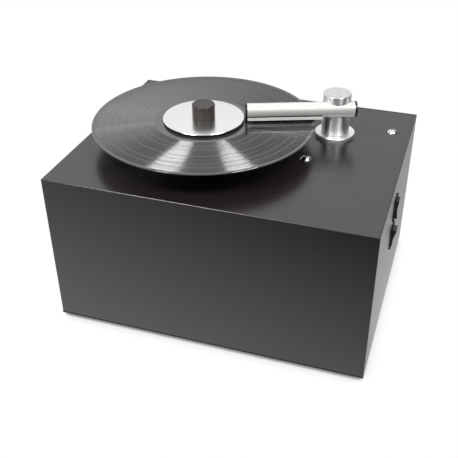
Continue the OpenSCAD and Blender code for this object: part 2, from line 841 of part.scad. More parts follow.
module motor_standoffs() color("silver") at_standoffs() difference() {
    rod_z(standoff_r, in_top - standoff_h, in_top);
    rod_z(screw_hole_r, in_top - standoff_h - over, in_top - standoff_h + plate_thread + 4);
}

module motor_plate() color("gray") difference() {
    at_spindle() difference() {
        along_z(motor_plate_z, motor_plate_z + motor_plate_t) square(2 * plate_half, center = true);
        rod_z(coupling_r + 1, motor_plate_z - over, motor_plate_z + motor_plate_t + over);
    }
    at_standoffs() rod_z(screw_hole_r, motor_plate_z - over, motor_plate_z + motor_plate_t + over);
}

module plate_screws() color("dimgray")
    at_standoffs() translate([0, 0, motor_plate_z]) pan_screw(motor_plate_t + plate_thread);

module gearbox() color("dimgray") at_spindle() difference() {
    union() {
        rod_z(gearbox_r, gearbox_z, motor_plate_z);
        rod_z(coupling_r, motor_plate_z, motor_plate_z + motor_plate_t);
    }
    rod_z(gear_shaft_r + run_gap, gearbox_z + gearbox_h - shaft_depth, in_top);
}

module drive_motor() color("silver") at_spindle() {
    rod_z(drive_motor_r, gearbox_z - drive_motor_h, gearbox_z);
    rod_z(6, gearbox_z - drive_motor_h - 4, gearbox_z - drive_motor_h);
}

// Suction arm
module arm_flange() color([0.8, 0.8, 0.82]) translate([post_x, post_y, 0]) difference() {
    union() {
        rotate_extrude() polygon([
            [0, top_z], [flange_r, top_z], [flange_r, top_z + flange_t - 0.6],
            [flange_r - 0.6, top_z + flange_t], [0, top_z + flange_t]
        ]);
        rod_z(neck_r, neck_z, top_z);
    }
    rod_z(bush_r + fit_gap, neck_z - over, top_z + flange_t + over);
}

module flange_nut() color("silver") translate([post_x, post_y, 0]) difference() {
    hex_z(flange_nut_af, lid_z - flange_nut_h, lid_z);
    rod_z(neck_r + fit_gap, lid_z - flange_nut_h - over, lid_z + over);
}

module riser_bush() color("whitesmoke") translate([post_x, post_y, 0]) difference() {
    rod_z(bush_r, neck_z, top_z + flange_t);
    rod_z(riser_r + run_gap, neck_z - over, top_z + flange_t + over);
}

module suction_riser() color("silver") translate([post_x, post_y, 0]) difference() {
    union() {
        rod_z(riser_r, riser_z, riser_top);
        rod_z(collar_r, collar_z, collar_z + collar_t);
    }
    rod_z(riser_r - riser_wall, riser_z - over, riser_top + over);
}

module arm_post() color([0.75, 0.75, 0.77]) difference() {
    at_arm() difference() {
        rotate_extrude($fn = 96) polygon([
            [0, post_z], [post_r - 0.4, post_z], [post_r, post_z + 0.4],
            [post_r, top_z + post_top - 0.5], [post_r - 0.5, top_z + post_top],
            [0, top_z + post_top]
        ]);
        rod_z(riser_r + run_gap, post_z - over, riser_top);
        rod_z(riser_r - riser_wall, riser_top - over, tube_z + 6);
        translate([0, 0, tube_z]) rod_y(grub_r + fit_gap, 0, post_r + over);
    }
    at_tube() rod_x(tube_r + fit_gap, -2 * post_r, 2 * post_r);
}

module arm_tube() color([0.8, 0.8, 0.82]) at_tube() difference() {
    rod_x(tube_r, tip_x + cap_t, tail_len - cap_t);
    rod_x(tube_r - tube_wall, tip_x, tail_len);
    suction_slot();
    // Port towards the riser
    rod_y(5, 0, tube_r + over);
}

// The slot under the tube, on a radius of the record
module suction_slot() {
    box(
        [-(arm_along - slot_in_r), -slot_w / 2, -tube_r - shoe_web - over],
        [-(arm_along - slot_out_r), slot_w / 2, 0]
    );
}

// Section of the nozzle shoe, bevelled along its lower edges, between two places on the tube
module along_shoe(x0, x1) {
    low = -tube_r - shoe_web;
    along_x(x0, x1) polygon([
        [-shoe_w / 2, low + shoe_h], [-shoe_w / 2, low + shoe_bevel_h],
        [shoe_bevel_w - shoe_w / 2, low], [shoe_w / 2 - shoe_bevel_w, low],
        [shoe_w / 2, low + shoe_bevel_h], [shoe_w / 2, low + shoe_h]
    ]);
}

module nozzle_shoe() color([0.85, 0.85, 0.86]) at_tube() difference() {
    along_shoe(tip_x + cap_t, shoe_end_x);
    rod_x(tube_r + fit_gap, tip_x, 0);
    suction_slot();
}

module velvet_strips() color([0.03, 0.03, 0.03]) at_tube() for (s = [-1, 1])
    translate([0, s * (slot_w + velvet_w + 1) / 2, 0])
        box(
            [tip_x + cap_t, -velvet_w / 2, -tube_r - shoe_web - velvet_t],
            [-(arm_along - record_r), velvet_w / 2, -tube_r - shoe_web]
        );

module tip_cap() color([0.05, 0.05, 0.05]) at_tube() {
    rod_x(tube_r, tip_x, tip_x + cap_t);
    along_shoe(tip_x, tip_x + cap_t);
    rod_x(tube_r - tube_wall - fit_gap, tip_x + cap_t - 0.5, tip_x + cap_t + cap_plug);
}

module tail_cap() color([0.05, 0.05, 0.05]) at_tube() {
    rod_x(tube_r, tail_len - cap_t, tail_len);
    rod_x(tube_r - tube_wall - fit_gap, tail_len - cap_t - cap_plug, tail_len - cap_t + 0.5);
}

// Grub screw that holds the tube in the post, reached from behind
module tube_grub_screw() color("dimgray") at_arm() translate([0, 0, tube_z]) difference() {
    rod_y(grub_r, riser_r - riser_wall + 2, post_r - 1);
    translate([0, post_r, 0]) rotate([90, 0, 0]) hex_z(2.5, 0, 4);
}

// Tank
module tank_bolts() color([0.85, 0.85, 0.86]) for (b = [bolt_a, bolt_b])
    translate([b[0], b[1], top_z]) difference() {
        union() {
            rod_z(bolt_r, rim_z - top_z - nut_h - 2, 0);
            intersection() {
                rod_z(bolt_head_r, 0, bolt_head_h);
                translate([0, 0, bolt_head_h - bolt_dome_r + 0.4]) sphere(bolt_dome_r);
            }
        }
        hex_z(socket_af, bolt_head_h - 2.8, bolt_head_h + over);
    }

bolt_dome_r = (bolt_head_r * bolt_head_r + bolt_head_h * bolt_head_h) / (2 * bolt_head_h);

module tank_nuts() color("silver") for (b = [bolt_a, bolt_b]) translate(b) difference() {
    hex_z(nut_af, rim_z - nut_h, rim_z);
    rod_z(bolt_hole_r, rim_z - nut_h - over, rim_z + over);
}

module tank_outline() polygon([
    [tank_x0 + tank_notch, tank_y0], [tank_x1, tank_y0], [tank_x1, tank_y1],
    [tank_x0, tank_y1], [tank_x0, tank_y0 + tank_notch], [tank_x0 + tank_notch, tank_y0 + tank_notch]
]);

module tank_inside() polygon([
    [tank_x0 + tank_notch + tank_wall, tank_y0 + tank_wall],
    [tank_x1 - tank_wall, tank_y0 + tank_wall],
    [tank_x1 - tank_wall, tank_y1 - tank_wall],
    [tank_x0 + tank_wall, tank_y1 - tank_wall],
    [tank_x0 + tank_wall, tank_y0 + tank_notch + tank_wall],
    [tank_x0 + tank_notch + tank_wall, tank_y0 + tank_notch + tank_wall]
]);

module rim_outline() translate([tank_x0, tank_y0]) square([lid_x1 - tank_x0, tank_y1 - tank_y0]);

module bolt_holes() for (b = [bolt_a, bolt_b]) translate(b) circle(bolt_hole_r);

module tank_lid() color("dimgray") difference() {
    along_z(lid_z, in_top) difference() {
        rim_outline();
        bolt_holes();
    }
    translate([post_x, post_y, 0]) rod_z(neck_r + fit_gap, lid_z - over, in_top + over);
}

module tank_gasket() color([0.1, 0.1, 0.1]) along_z(gasket_z, lid_z) difference() {
    rim_outline();
    tank_inside();
    bolt_holes();
}

module waste_tank() color([0.85, 0.87, 0.88]) difference() {
    union() {
        along_z(tank_z, gasket_z) tank_outline();
        along_z(rim_z, gasket_z) rim_outline();
        at_fan() rod_x(nozzle_r, tank_x0 - nozzle_len, tank_x0 + tank_wall);
        translate([drain_x, 0, drain_z]) rod_y(tap_r, tank_y1 - tank_wall, in_rear - 6);
    }
    along_z(tank_z + tank_wall, gasket_z + over) tank_inside();
    along_z(rim_z - over, gasket_z + over) bolt_holes();
    at_fan() rod_x(eye_r, tank_x0 - nozzle_len - over, tank_x0 + tank_wall + over);
    translate([drain_x, 0, drain_z]) rod_y(drain_bore_r, tank_y1 - tank_wall - over, in_rear);
}

// Rubber pad that the tank stands on
module tank_pad() color([0.1, 0.1, 0.1]) box(
    [tank_x0 + tank_notch, tank_y0 + tank_notch, base_z],
    [tank_x1 - tank_notch / 2, tank_y1 - tank_notch, tank_z]
);

// Plate that keeps spray from the riser away from the air nozzle
module splash_baffle() color("silver")
    translate([tank_x0 + tank_wall + baffle_gap, tank_y1 - tank_wall - baffle_gap, lid_z]) {
        box([0, -baffle_len, -baffle_h], [baffle_t, 0, 0]);
        box([0, -baffle_len, -baffle_t], [baffle_flange_w, 0, 0]);
    }

// Vacuum unit
module air_hose() color([0.15, 0.15, 0.16]) at_fan() difference() {
    union() {
        rod_x(hose_r, hose_x0, hose_x1);
        for (i = [0:rib_count - 1])
            translate([hose_x0 + nozzle_len + 4 + i * rib_step, 0, 0])
                rod_x(hose_r + rib_h, 0, rib_step / 2);
    }
    rod_x(nozzle_r + fit_gap, hose_x0 - over, hose_x1 + over);
}

rib_step = (hose_x1 - hose_x0 - 2 * nozzle_len - 8) / rib_count;

module hose_clips() color("silver") at_fan()
    for (x = [hose_x0 + 3, hose_x1 - 3 - clip_w]) difference() {
        rod_x(hose_r + fit_gap + clip_t, x, x + clip_w);
        rod_x(hose_r + fit_gap, x - over, x + clip_w + over);
    }

module fan_shroud() color("silver") at_fan() difference() {
    union() {
        rod_x(shroud_r, shroud_x0, shroud_x1);
        rod_x(nozzle_r, shroud_x1 - shroud_wall, shroud_x1 + nozzle_len);
    }
    rod_x(shroud_r - shroud_wall, shroud_x0 + shroud_wall, shroud_x1 - shroud_wall);
    rod_x(eye_r, shroud_x0 + shroud_wall + over, shroud_x1 + nozzle_len + over);
    rod_x(fan_shaft_r + 1, shroud_x0 - over, shroud_x0 + shroud_wall + over);
    // Exhaust opening towards the rear panel
    box(
        [fan_mid_x - vent_w / 2, 0, -exhaust_h / 2],
        [fan_mid_x + vent_w / 2, shroud_r + over, exhaust_h / 2]
    );
}

// Impeller with curved blades between two discs, on the motor's shaft
module fan_impeller() color([0.7, 0.7, 0.72]) at_fan() {
    difference() {
        union() {
            rod_x(impeller_r, impeller_x, impeller_x + impeller_t);
            rod_x(impeller_r, impeller_x + impeller_w - impeller_t, impeller_x + impeller_w);
        }
        rod_x(eye_r - 1, impeller_x + impeller_t, impeller_x + impeller_w + over);
    }
    rod_x(fan_shaft_r, motor_x0 + 10, impeller_x + impeller_w - 4);
    rod_x(fan_shaft_r + 4, impeller_x, impeller_x + impeller_w - 8);
    translate([impeller_x, 0, 0]) rotate([90, 0, 90]) linear_extrude(impeller_w)
        for (i = [0:blade_count - 1]) rotate(i * 360 / blade_count) blade_outline();
}

// One blade: a slice of a ring between the eye and the impeller's edge
module blade_outline() intersection() {
    translate([impeller_r * 0.42, impeller_r * 0.32]) difference() {
        circle(impeller_r * 0.62);
        circle(impeller_r * 0.62 - impeller_t);
    }
    difference() {
        circle(impeller_r - 0.5);
        circle(eye_r + 2);
        translate([-impeller_r, -impeller_r]) square([2 * impeller_r, impeller_r * 1.05]);
    }
}

module vacuum_motor() color("dimgray") at_fan() {
    difference() {
        union() {
            rod_x(vac_motor_r, motor_x0, shroud_x0);
            rod_x(end_bell_r, vac_x0, motor_x0);
        }
        rod_x(fan_shaft_r + run_gap, motor_x0 + 10, shroud_x0 + over);
    }
}

// Rubber rings that carry the motor in its cradle
module motor_rings() color([0.1, 0.1, 0.1]) at_fan() for (x = cradle_x) difference() {
    rod_x(vac_motor_r + ring_t, x + (cradle_t - ring_w) / 2, x + (cradle_t + ring_w) / 2);
    rod_x(vac_motor_r + fit_gap, x - ring_w, x + 2 * ring_w);
}

module motor_cradle() color("gray") difference() {
    union() {
        box(
            [cradle_x[0] - 24, fan_y - cradle_w / 2, base_z],
            [cradle_x[1] + cradle_t + 24, fan_y + cradle_w / 2, base_z + cradle_foot_t]
        );
        for (x = cradle_x)
            box(
                [x, fan_y - cradle_w / 2, base_z],
                [x + cradle_t, fan_y + cradle_w / 2, fan_z]
            );
    }
    at_fan() rod_x(cradle_bore_r, vac_x0, shroud_x0);
    at_cradle_screws() rod_z(screw_hole_r, base_z - over, base_z + cradle_foot_t + over);
}

module exhaust_sleeve() color([0.12, 0.12, 0.12]) difference() {
    box(
        [fan_mid_x - vent_w / 2 - sleeve_wall, fan_y, fan_z - exhaust_h / 2 - sleeve_wall],
        [fan_mid_x + vent_w / 2 + sleeve_wall, in_rear, fan_z + exhaust_h / 2 + sleeve_wall]
    );
    box(
        [fan_mid_x - vent_w / 2, fan_y - over, fan_z - exhaust_h / 2],
        [fan_mid_x + vent_w / 2, in_rear + over, fan_z + exhaust_h / 2]
    );
    at_fan() rod_x(shroud_r + fit_gap, shroud_x0 - over, shroud_x1 + over);
}

// Drain tap: its body goes through the rear panel, its spigot takes a hose
module drain_tap() color("goldenrod") translate([drain_x, 0, drain_z]) difference() {
    union() {
        rod_y(tap_r, in_rear - 6, rear + tap_flange_t + tap_len);
        rod_y(tap_flange_r, rear, rear + tap_flange_t);
        rod_y(spigot_r, rear + tap_flange_t + tap_len, rear + rear_proud);
        translate([0, tap_y, 0]) rod_z(4.5, 0, tap_r + 2);
    }
    rod_y(drain_bore_r, in_rear - 6 - over, rear + rear_proud + over);
    translate([0, tap_y, 0]) rod_z(stem_r + run_gap, drain_bore_r + 1, tap_r + 2 + over);
}

tap_y = rear + tap_flange_t + tap_len / 2;
stem_r = 2.5;

module drain_lever() color([0.6, 0.1, 0.1]) translate([drain_x, tap_y, drain_z]) {
    rod_z(stem_r, drain_bore_r + 1.3, tap_r + 3);
    along_z(tap_r + 2.3, tap_r + 4.8) {
        circle(4.5);
        translate([0, -3]) square([lever_len, 6]);
        translate([lever_len, 0]) circle(3);
    }
}

// Mains inlet with flat pins in a recess, and a drawer for the fuse beside it
module mains_inlet() color([0.1, 0.1, 0.1]) {
    difference() {
        union() {
            box(
                [inlet_x - inlet_w / 2, rear, inlet_z - inlet_h / 2],
                [inlet_x + inlet_w / 2, rear + inlet_t, inlet_z + inlet_h / 2]
            );
            along_y(rear - inlet_depth, rear) translate([inlet_x, inlet_z])
                square([inlet_w - inlet_frame, inlet_h - inlet_frame], center = true);
        }
        along_y(rear + inlet_t - socket_depth, rear + inlet_t + over)
            translate([socket_x, inlet_z]) polygon([
                [-socket_w / 2, -socket_h / 2], [socket_w / 2, -socket_h / 2],
                [socket_w / 2, socket_h / 2 - 5], [socket_w / 2 - 5, socket_h / 2],
                [-socket_w / 2 + 5, socket_h / 2], [-socket_w / 2, socket_h / 2 - 5]
            ]);
        box(
            [drawer_x - drawer_w / 2, rear + inlet_t - drawer_depth, inlet_z - drawer_h / 2],
            [drawer_x + drawer_w / 2, rear + inlet_t + over, inlet_z + drawer_h / 2]
        );
    }
    // Three flat pins
    for (p = [[-7, -2.5], [7, -2.5], [0, 2.5]])
        translate([socket_x + p[0], 0, inlet_z + p[1]])
            box([-1, rear + inlet_t - socket_depth, -2], [1, rear + inlet_t - socket_depth + pin_len, 2]);
}

module fuse_drawer() color([0.15, 0.15, 0.15]) {
    along_y(rear + inlet_t - drawer_depth + 1, rear + inlet_t) translate([drawer_x, inlet_z])
        square([drawer_w - 2 * loose_gap, drawer_h - 2 * loose_gap], center = true);
    along_y(rear + inlet_t, rear + inlet_t + drawer_lip) translate([drawer_x, inlet_z])
        square([drawer_w + 2 * drawer_rim, drawer_h + 2 * drawer_rim], center = true);
}

module control_board() color([0.1, 0.35, 0.2]) {
    difference() {
        union() {
            box(
                [board_x - board_w / 2, board_y - board_d / 2, board_z],
                [board_x + board_w / 2, board_y + board_d / 2, board_z + board_t]
            );
            at_board_posts() rod_z(screw_r + 2, base_z, board_z);
            // Transformer, two relays and the terminal block, then the capacitor
            for (b = board_blocks)
                translate([board_x + b[0], board_y + b[1], board_z])
                    box([-b[2] / 2, -b[3] / 2, 0], [b[2] / 2, b[3] / 2, b[4]]);
            translate([board_x + capacitor_at[0], board_y + capacitor_at[1], 0])
                rod_z(capacitor_r, board_z, board_z + capacitor_h);
        }
        at_board_posts() rod_z(screw_hole_r, base_z - over, base_z + board_lift - 0.5);
    }
}

// Rocker switches
module switch_housing() difference() {
    union() {
        box([0, -bezel_w / 2, -bezel_h / 2], [bezel_t, bezel_w / 2, bezel_h / 2]);
        box([-housing_depth, -housing_w / 2, -housing_h / 2], [0, housing_w / 2, housing_h / 2]);
        for (z = [-8, 0, 8]) box([-housing_depth - 8, -2.4, z - 0.4], [-housing_depth, 2.4, z + 0.4]);
    }
    box([-well_depth, -well_w / 2, -well_h / 2], [bezel_t + over, well_w / 2, well_h / 2]);
    rod_y(trunnion_r + run_gap, -well_w / 2 - trunnion_len, well_w / 2 + trunnion_len);
}

module switch_housings() color([0.06, 0.06, 0.06]) for (z = [upper_switch_z, lower_switch_z])
    translate([right, switch_y, z]) switch_housing();

// A rocker's ends stand up and its middle dips
module rocker() {
    along_y(-rocker_w / 2, rocker_w / 2) polygon([
        [-2, -rocker_half + 2.5], [0, -rocker_half], [rocker_end - 0.5, -rocker_half],
        [rocker_end, -rocker_half + 1], [rocker_end - rocker_dip, 0],
        [rocker_end, rocker_half - 1], [rocker_end - 0.5, rocker_half],
        [0, rocker_half], [-2, rocker_half - 2.5]
    ]);
    rod_y(trunnion_r, -well_w / 2 - trunnion_len + 0.1, well_w / 2 + trunnion_len - 0.1);
}

module rotation_rocker() color([0.1, 0.1, 0.1])
    translate([right, switch_y, upper_switch_z]) rocker();

module vacuum_rocker() color([0.1, 0.1, 0.1])
    translate([right, switch_y, lower_switch_z]) rotate([0, rocker_tilt, 0]) rocker();

front_panel();
top_panel();
left_panel();
right_panel();
rear_panel();
base_panel();
corner_angles();
rails();
panel_screws();
rubber_feet();
indicator_lens();
spindle_bearing();
platter_spindle();
platter();
platter_mat();
vinyl_record();
clamp_pad();
clamp_disc();
clamp_bush();
clamp_knob();
shaft_coupling();
motor_standoffs();
motor_plate();
plate_screws();
gearbox();
drive_motor();
arm_flange();
flange_nut();
riser_bush();
suction_riser();
arm_post();
arm_tube();
nozzle_shoe();
velvet_strips();
tip_cap();
tail_cap();
tube_grub_screw();
tank_bolts();
tank_nuts();
tank_lid();
tank_gasket();
waste_tank();
splash_baffle();
air_hose();
hose_clips();
tank_pad();
fan_shroud();
fan_impeller();
vacuum_motor();
motor_rings();
motor_cradle();
exhaust_sleeve();
drain_tap();
drain_lever();
mains_inlet();
fuse_drawer();
control_board();
switch_housings();
rotation_rocker();
vacuum_rocker();
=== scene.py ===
"""Looks of a record cleaning machine: finishes for its CAD nodes, the pieces that only show,
a plain studio and the camera. All lengths here are in metres unless a name ends in _mm."""

import math
import random

import bmesh
import bpy
from bpy.props import FloatProperty, FloatVectorProperty, PointerProperty
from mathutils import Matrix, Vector


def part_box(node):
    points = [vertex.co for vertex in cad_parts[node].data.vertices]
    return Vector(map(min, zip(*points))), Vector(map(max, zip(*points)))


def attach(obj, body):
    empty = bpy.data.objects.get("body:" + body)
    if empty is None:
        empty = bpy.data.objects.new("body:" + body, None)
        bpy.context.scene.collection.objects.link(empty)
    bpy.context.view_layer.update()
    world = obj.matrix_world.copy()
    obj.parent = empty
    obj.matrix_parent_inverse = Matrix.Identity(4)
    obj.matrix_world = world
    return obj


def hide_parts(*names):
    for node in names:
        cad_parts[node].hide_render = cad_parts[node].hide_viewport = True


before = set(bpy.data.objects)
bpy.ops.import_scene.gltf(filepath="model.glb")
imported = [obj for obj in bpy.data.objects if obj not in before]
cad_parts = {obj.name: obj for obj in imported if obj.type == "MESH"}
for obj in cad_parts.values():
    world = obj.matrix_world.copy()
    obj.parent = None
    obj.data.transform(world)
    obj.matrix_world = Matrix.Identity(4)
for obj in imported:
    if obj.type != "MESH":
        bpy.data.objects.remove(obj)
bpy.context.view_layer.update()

bl_info = {
    "name": "Record cleaning machine",
    "version": (1, 0, 0),
    "blender": (4, 5, 0),
    "location": "View3D > Sidebar > Record cleaner",
    "description": "Dresses the packed model of a record cleaning machine and lights it",
    "category": "Object",
}

MM = 0.001
# Points nearer to each other than this are one point
WELD = 1e-6
# Bead blasting shows on faces that lean less than 26 degrees from level. Its dents are drawn
# 0.25 mm across, where the real ones are finer
BLAST_LEVEL = 0.9
BLAST_MM = 0.25


def middle(node):
    """The middle of a CAD node's box."""
    lo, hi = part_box(node)
    return (lo + hi) / 2


# Places that the CAD gives: the spindle, the arm's post and the two ends of its tube
SPINDLE = middle("vinyl_record")
POST = middle("arm_flange")
TAIL = middle("tail_cap")
TIP = middle("tip_cap")
ARM_DIRECTION = Vector((TIP.x - TAIL.x, TIP.y - TAIL.y, 0)).normalized()
ARM_ACROSS = Vector((-ARM_DIRECTION.y, ARM_DIRECTION.x, 0))
ARM_TURN = math.atan2(-ARM_DIRECTION.y, -ARM_DIRECTION.x)
FAN = middle("vacuum_motor")


def linear(hex_colour):
    """An sRGB colour such as "#1c1c1e" as the linear colour that a shader takes."""
    channels = [int(hex_colour[i : i + 2], 16) / 255 for i in (1, 3, 5)]
    return tuple(c / 12.92 if c <= 0.04045 else ((c + 0.055) / 1.055) ** 2.4 for c in channels)


def rgba(colour):
    """A colour made opaque, as a socket takes it."""
    return (*colour[:3], 1.0)


def add(tree, kind, inputs=None, **settings):
    """Adds one shader node. An input is given a value, or the socket that it is linked to."""
    made = tree.nodes.new("ShaderNode" + kind)
    for name, value in settings.items():
        setattr(made, name, value)
    for socket, value in (inputs or {}).items():
        if isinstance(value, bpy.types.NodeSocket):
            tree.links.new(value, made.inputs[socket])
        else:
            made.inputs[socket].default_value = value
    return made


def new_material(name, **surface):
    """A material with one Principled shader. Returns it, its tree and the shader."""
    made = bpy.data.materials.new(name)
    made.use_nodes = True
    tree = made.node_tree
    tree.nodes.clear()
    shader = add(tree, "BsdfPrincipled", surface)
    add(tree, "OutputMaterial", {"Surface": shader.outputs["BSDF"]})
    return made, tree, shader


def colour_mix(tree, amount, first, second):
    """Blends two colours by a value from 0 to 1."""
    made = add(tree, "Mix", {"Factor": amount}, data_type="RGBA")
    for index, colour in ((6, first), (7, second)):
        if isinstance(colour, bpy.types.NodeSocket):
            tree.links.new(colour, made.inputs[index])
        else:
            made.inputs[index].default_value = rgba(colour)
    return made.outputs[2]


def spread(tree, value, low, high, start=0.0, end=1.0):
    """Maps a value from start..end to low..high."""
    inputs = {"Value": value, "From Min": start, "From Max": end, "To Min": low, "To Max": high}
    return add(tree, "MapRange", inputs).outputs["Result"]


def math_of(tree, operation, *values):
    """What an operation makes of values or sockets."""
    return add(tree, "Math", dict(enumerate(values)), operation=operation).outputs[0]


def place(tree, centre=(0, 0, 0), turn=0.0, scale=(1, 1, 1)):
    """Object coordinates measured from a centre, turned about Z and scaled."""
    point = add(tree, "TexCoord").outputs["Object"]
    moved = add(tree, "VectorMath", {0: point, 1: tuple(centre)}, operation="SUBTRACT").outputs[0]
    inputs = {"Vector": moved, "Rotation": (0, 0, -turn), "Scale": scale}
    return add(tree, "Mapping", inputs).outputs[0]


def grain(tree, vector, size_mm, detail=3.0):
    """Noise whose cells are about size_mm across."""
    inputs = {"Vector": vector, "Scale": 1 / (size_mm * MM), "Detail": detail, "Roughness": 0.55}
    return add(tree, "TexNoise", inputs).outputs["Fac"]


def relief(tree, shader, height, depth_mm, strength):
    """Bumps the shader by a height from 0 to 1 that stands for depth_mm."""
    inputs = {"Height": height, "Strength": strength, "Distance": depth_mm * MM}
    tree.links.new(add(tree, "Bump", inputs).outputs["Normal"], shader.inputs["Normal"])


def toned(tree, shader, pattern, colour, low, high):
    """Colours the shader by a pattern, from low to high times its colour."""
    dark, light = [tuple(min(c * k, 1) for c in colour) for k in (low, high)]
    tree.links.new(colour_mix(tree, pattern, dark, light), shader.inputs["Base Color"])


def uneven(tree, shader, roughness, first, first_swing, second, second_swing):
    """Varies the shader's roughness by two patterns, each by its swing to either side."""
    swings = [spread(tree, p, -s, s) for p, s in ((first, first_swing), (second, second_swing))]
    rough = math_of(tree, "ADD", math_of(tree, "ADD", *swings), roughness)
    tree.links.new(rough, shader.inputs["Roughness"])


def dress(material, *nodes):
    """Puts a material on CAD nodes."""
    for name in nodes:
        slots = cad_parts[name].data.materials
        slots.clear()
        slots.append(material)


def out_from(tree, centre):
    """The level vector from an upright axis to the point."""
    inputs = {0: place(tree, centre), 1: (1, 1, 0)}
    return add(tree, "VectorMath", inputs, operation="MULTIPLY").outputs[0]


def radius_from(tree, centre):
    """Distance from an upright axis, in metres."""
    inputs = {0: out_from(tree, centre)}
    return add(tree, "VectorMath", inputs, operation="LENGTH").outputs["Value"]


def along(tree, vector, direction):
    """How far a vector reaches along a direction."""
    inputs = {0: vector, 1: direction}
    return add(tree, "VectorMath", inputs, operation="DOT_PRODUCT").outputs["Value"]


def unit(tree, vector):
    """A vector's direction, with a length of one."""
    return add(tree, "VectorMath", {0: vector}, operation="NORMALIZE").outputs[0]


def to_world(tree, vector):
    """A direction of the object, turned with it as a joint moves."""
    spaces = {"vector_type": "VECTOR", "convert_from": "OBJECT", "convert_to": "WORLD"}
    return unit(tree, add(tree, "VectorTransform", {0: vector}, **spaces).outputs[0])


def round_tangent(tree, centre, blasted):
    """The direction round an upright axis, which turning marks follow. On a blasted piece the
    faces that look up have a direction of their own at each dent instead."""
    inputs = {0: (0, 0, 1), 1: place(tree, centre)}
    around = add(tree, "VectorMath", inputs, operation="CROSS_PRODUCT").outputs[0]
    if blasted:
        dents = place(tree, scale=(1 / (BLAST_MM * MM),) * 3)
        chance = add(tree, "TexWhiteNoise", {"Vector": dents}, noise_dimensions="3D").outputs["Color"]
        inputs = {0: chance, 1: (0.5, 0.5, 0.5)}
        any_way = add(tree, "VectorMath", inputs, operation="SUBTRACT").outputs[0]
        up = add(tree, "SeparateXYZ", {0: add(tree, "TexCoord").outputs["Normal"]}).outputs["Z"]
        level = math_of(tree, "GREATER_THAN", up, BLAST_LEVEL)
        inputs = {"Factor": level, 4: unit(tree, around), 5: any_way}
        around = add(tree, "Mix", inputs, data_type="VECTOR").outputs[1]
    return to_world(tree, around)


# Ways of making and placing a piece


def finish_piece(name, shape, material, body, smooth=True):
    """Turns a bmesh into an object that rides on a body and takes its finish from a slot."""
    bmesh.ops.recalc_face_normals(shape, faces=shape.faces)
    mesh = bpy.data.meshes.new(name)
    for face in shape.faces:
        face.smooth = smooth
    shape.to_mesh(mesh)
    shape.free()
    mesh.materials.append(material)
    piece = bpy.data.objects.new(name, mesh)
    bpy.context.scene.collection.objects.link(piece)
    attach(piece, body)
    return piece


def lathe(profile, centre, axis, steps):
    """Revolves points (radius, distance along the axis) about an axis through centre. A profile
    that doesn't start and end on the axis is closed into a ring."""
    axis = Vector(axis)
    side = Vector((0, 0, 1)) if abs(axis.z) < 0.5 else Vector((1, 0, 0))
    shape = bmesh.new()
    points = [shape.verts.new(Vector(centre) + side * r + axis * d) for r, d in profile]
    closed = profile[0][0] > WELD
    pairs = list(zip(points, points[1:] + points[:1]))
    edges = [shape.edges.new(pair) for pair in (pairs if closed else pairs[:-1])]
    turn = {"cent": centre, "axis": axis, "angle": 2 * math.pi, "steps": steps}
    bmesh.ops.spin(shape, geom=points + edges, use_merge=True, **turn)
    bmesh.ops.remove_doubles(shape, verts=shape.verts, dist=WELD)
    return shape


def rounded(bore, radius, low, high, edge):
    """Profile of a ring with a bore and a radius, its outer corners rounded in four steps."""
    points = [(bore, low)]
    for level, start in ((low + edge, -90), (high - edge, 0)):
        for step in range(5):
            turn = math.radians(start + 90 * step / 4)
            points.append((radius - edge + edge * math.cos(turn), level + edge * math.sin(turn)))
    return points + [(bore, high)]


def reach(node, direction, origin):
    """How far a node reaches to either side of origin along a direction."""
    reaches = [(v.co - origin).dot(direction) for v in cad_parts[node].data.vertices]
    return min(reaches), max(reaches)


# Finishes that several pieces of this machine share


def lacquered_sheet(name, colour, roughness, grain_mm=0.9, ior=1.5):
    """Aluminium composite sheet, coil coated with a satin lacquer: dark, with an even grain, drawn
    coarser than the real one, that spreads reflections widely and brightens at a low angle."""
    made, tree, shader = new_material(name, IOR=ior)
    point = place(tree)
    fine = grain(tree, point, grain_mm)
    cloudy = grain(tree, point, 60, 2.0)
    toned(tree, shader, fine, colour, 0.85, 1.2)
    uneven(tree, shader, roughness, fine, 0.03, cloudy, 0.02)
    relief(tree, shader, fine, 0.012, 0.35)
    return made


def moulded_plastic(name, colour, roughness, grain_mm=0.7, depth_mm=0.02):
    """Injection moulded plastic: one colour with a fine spark-eroded grain."""
    made, tree, shader = new_material(name, IOR=1.5)
    fine = grain(tree, place(tree), grain_mm, 4.0)
    toned(tree, shader, fine, colour, 0.8, 1.25)
    tree.links.new(spread(tree, fine, roughness - 0.05, roughness + 0.05), shader.inputs["Roughness"])
    relief(tree, shader, fine, depth_mm, 0.5)
    return made


def moulded_rubber(name, colour, roughness=0.75, grain_mm=1.2):
    """Moulded rubber: matt, with faint bloom and a slightly uneven skin."""
    made, tree, shader = new_material(name, IOR=1.52)
    point = place(tree)
    fine = grain(tree, point, grain_mm, 4.0)
    bloom = grain(tree, point, 12, 2.0)
    light = tuple(c * 1.8 + 0.004 for c in colour)
    tree.links.new(colour_mix(tree, bloom, colour, light), shader.inputs["Base Color"])
    tree.links.new(spread(tree, fine, roughness - 0.08, roughness + 0.08), shader.inputs["Roughness"])
    relief(tree, shader, fine, 0.05, 0.6)
    return made


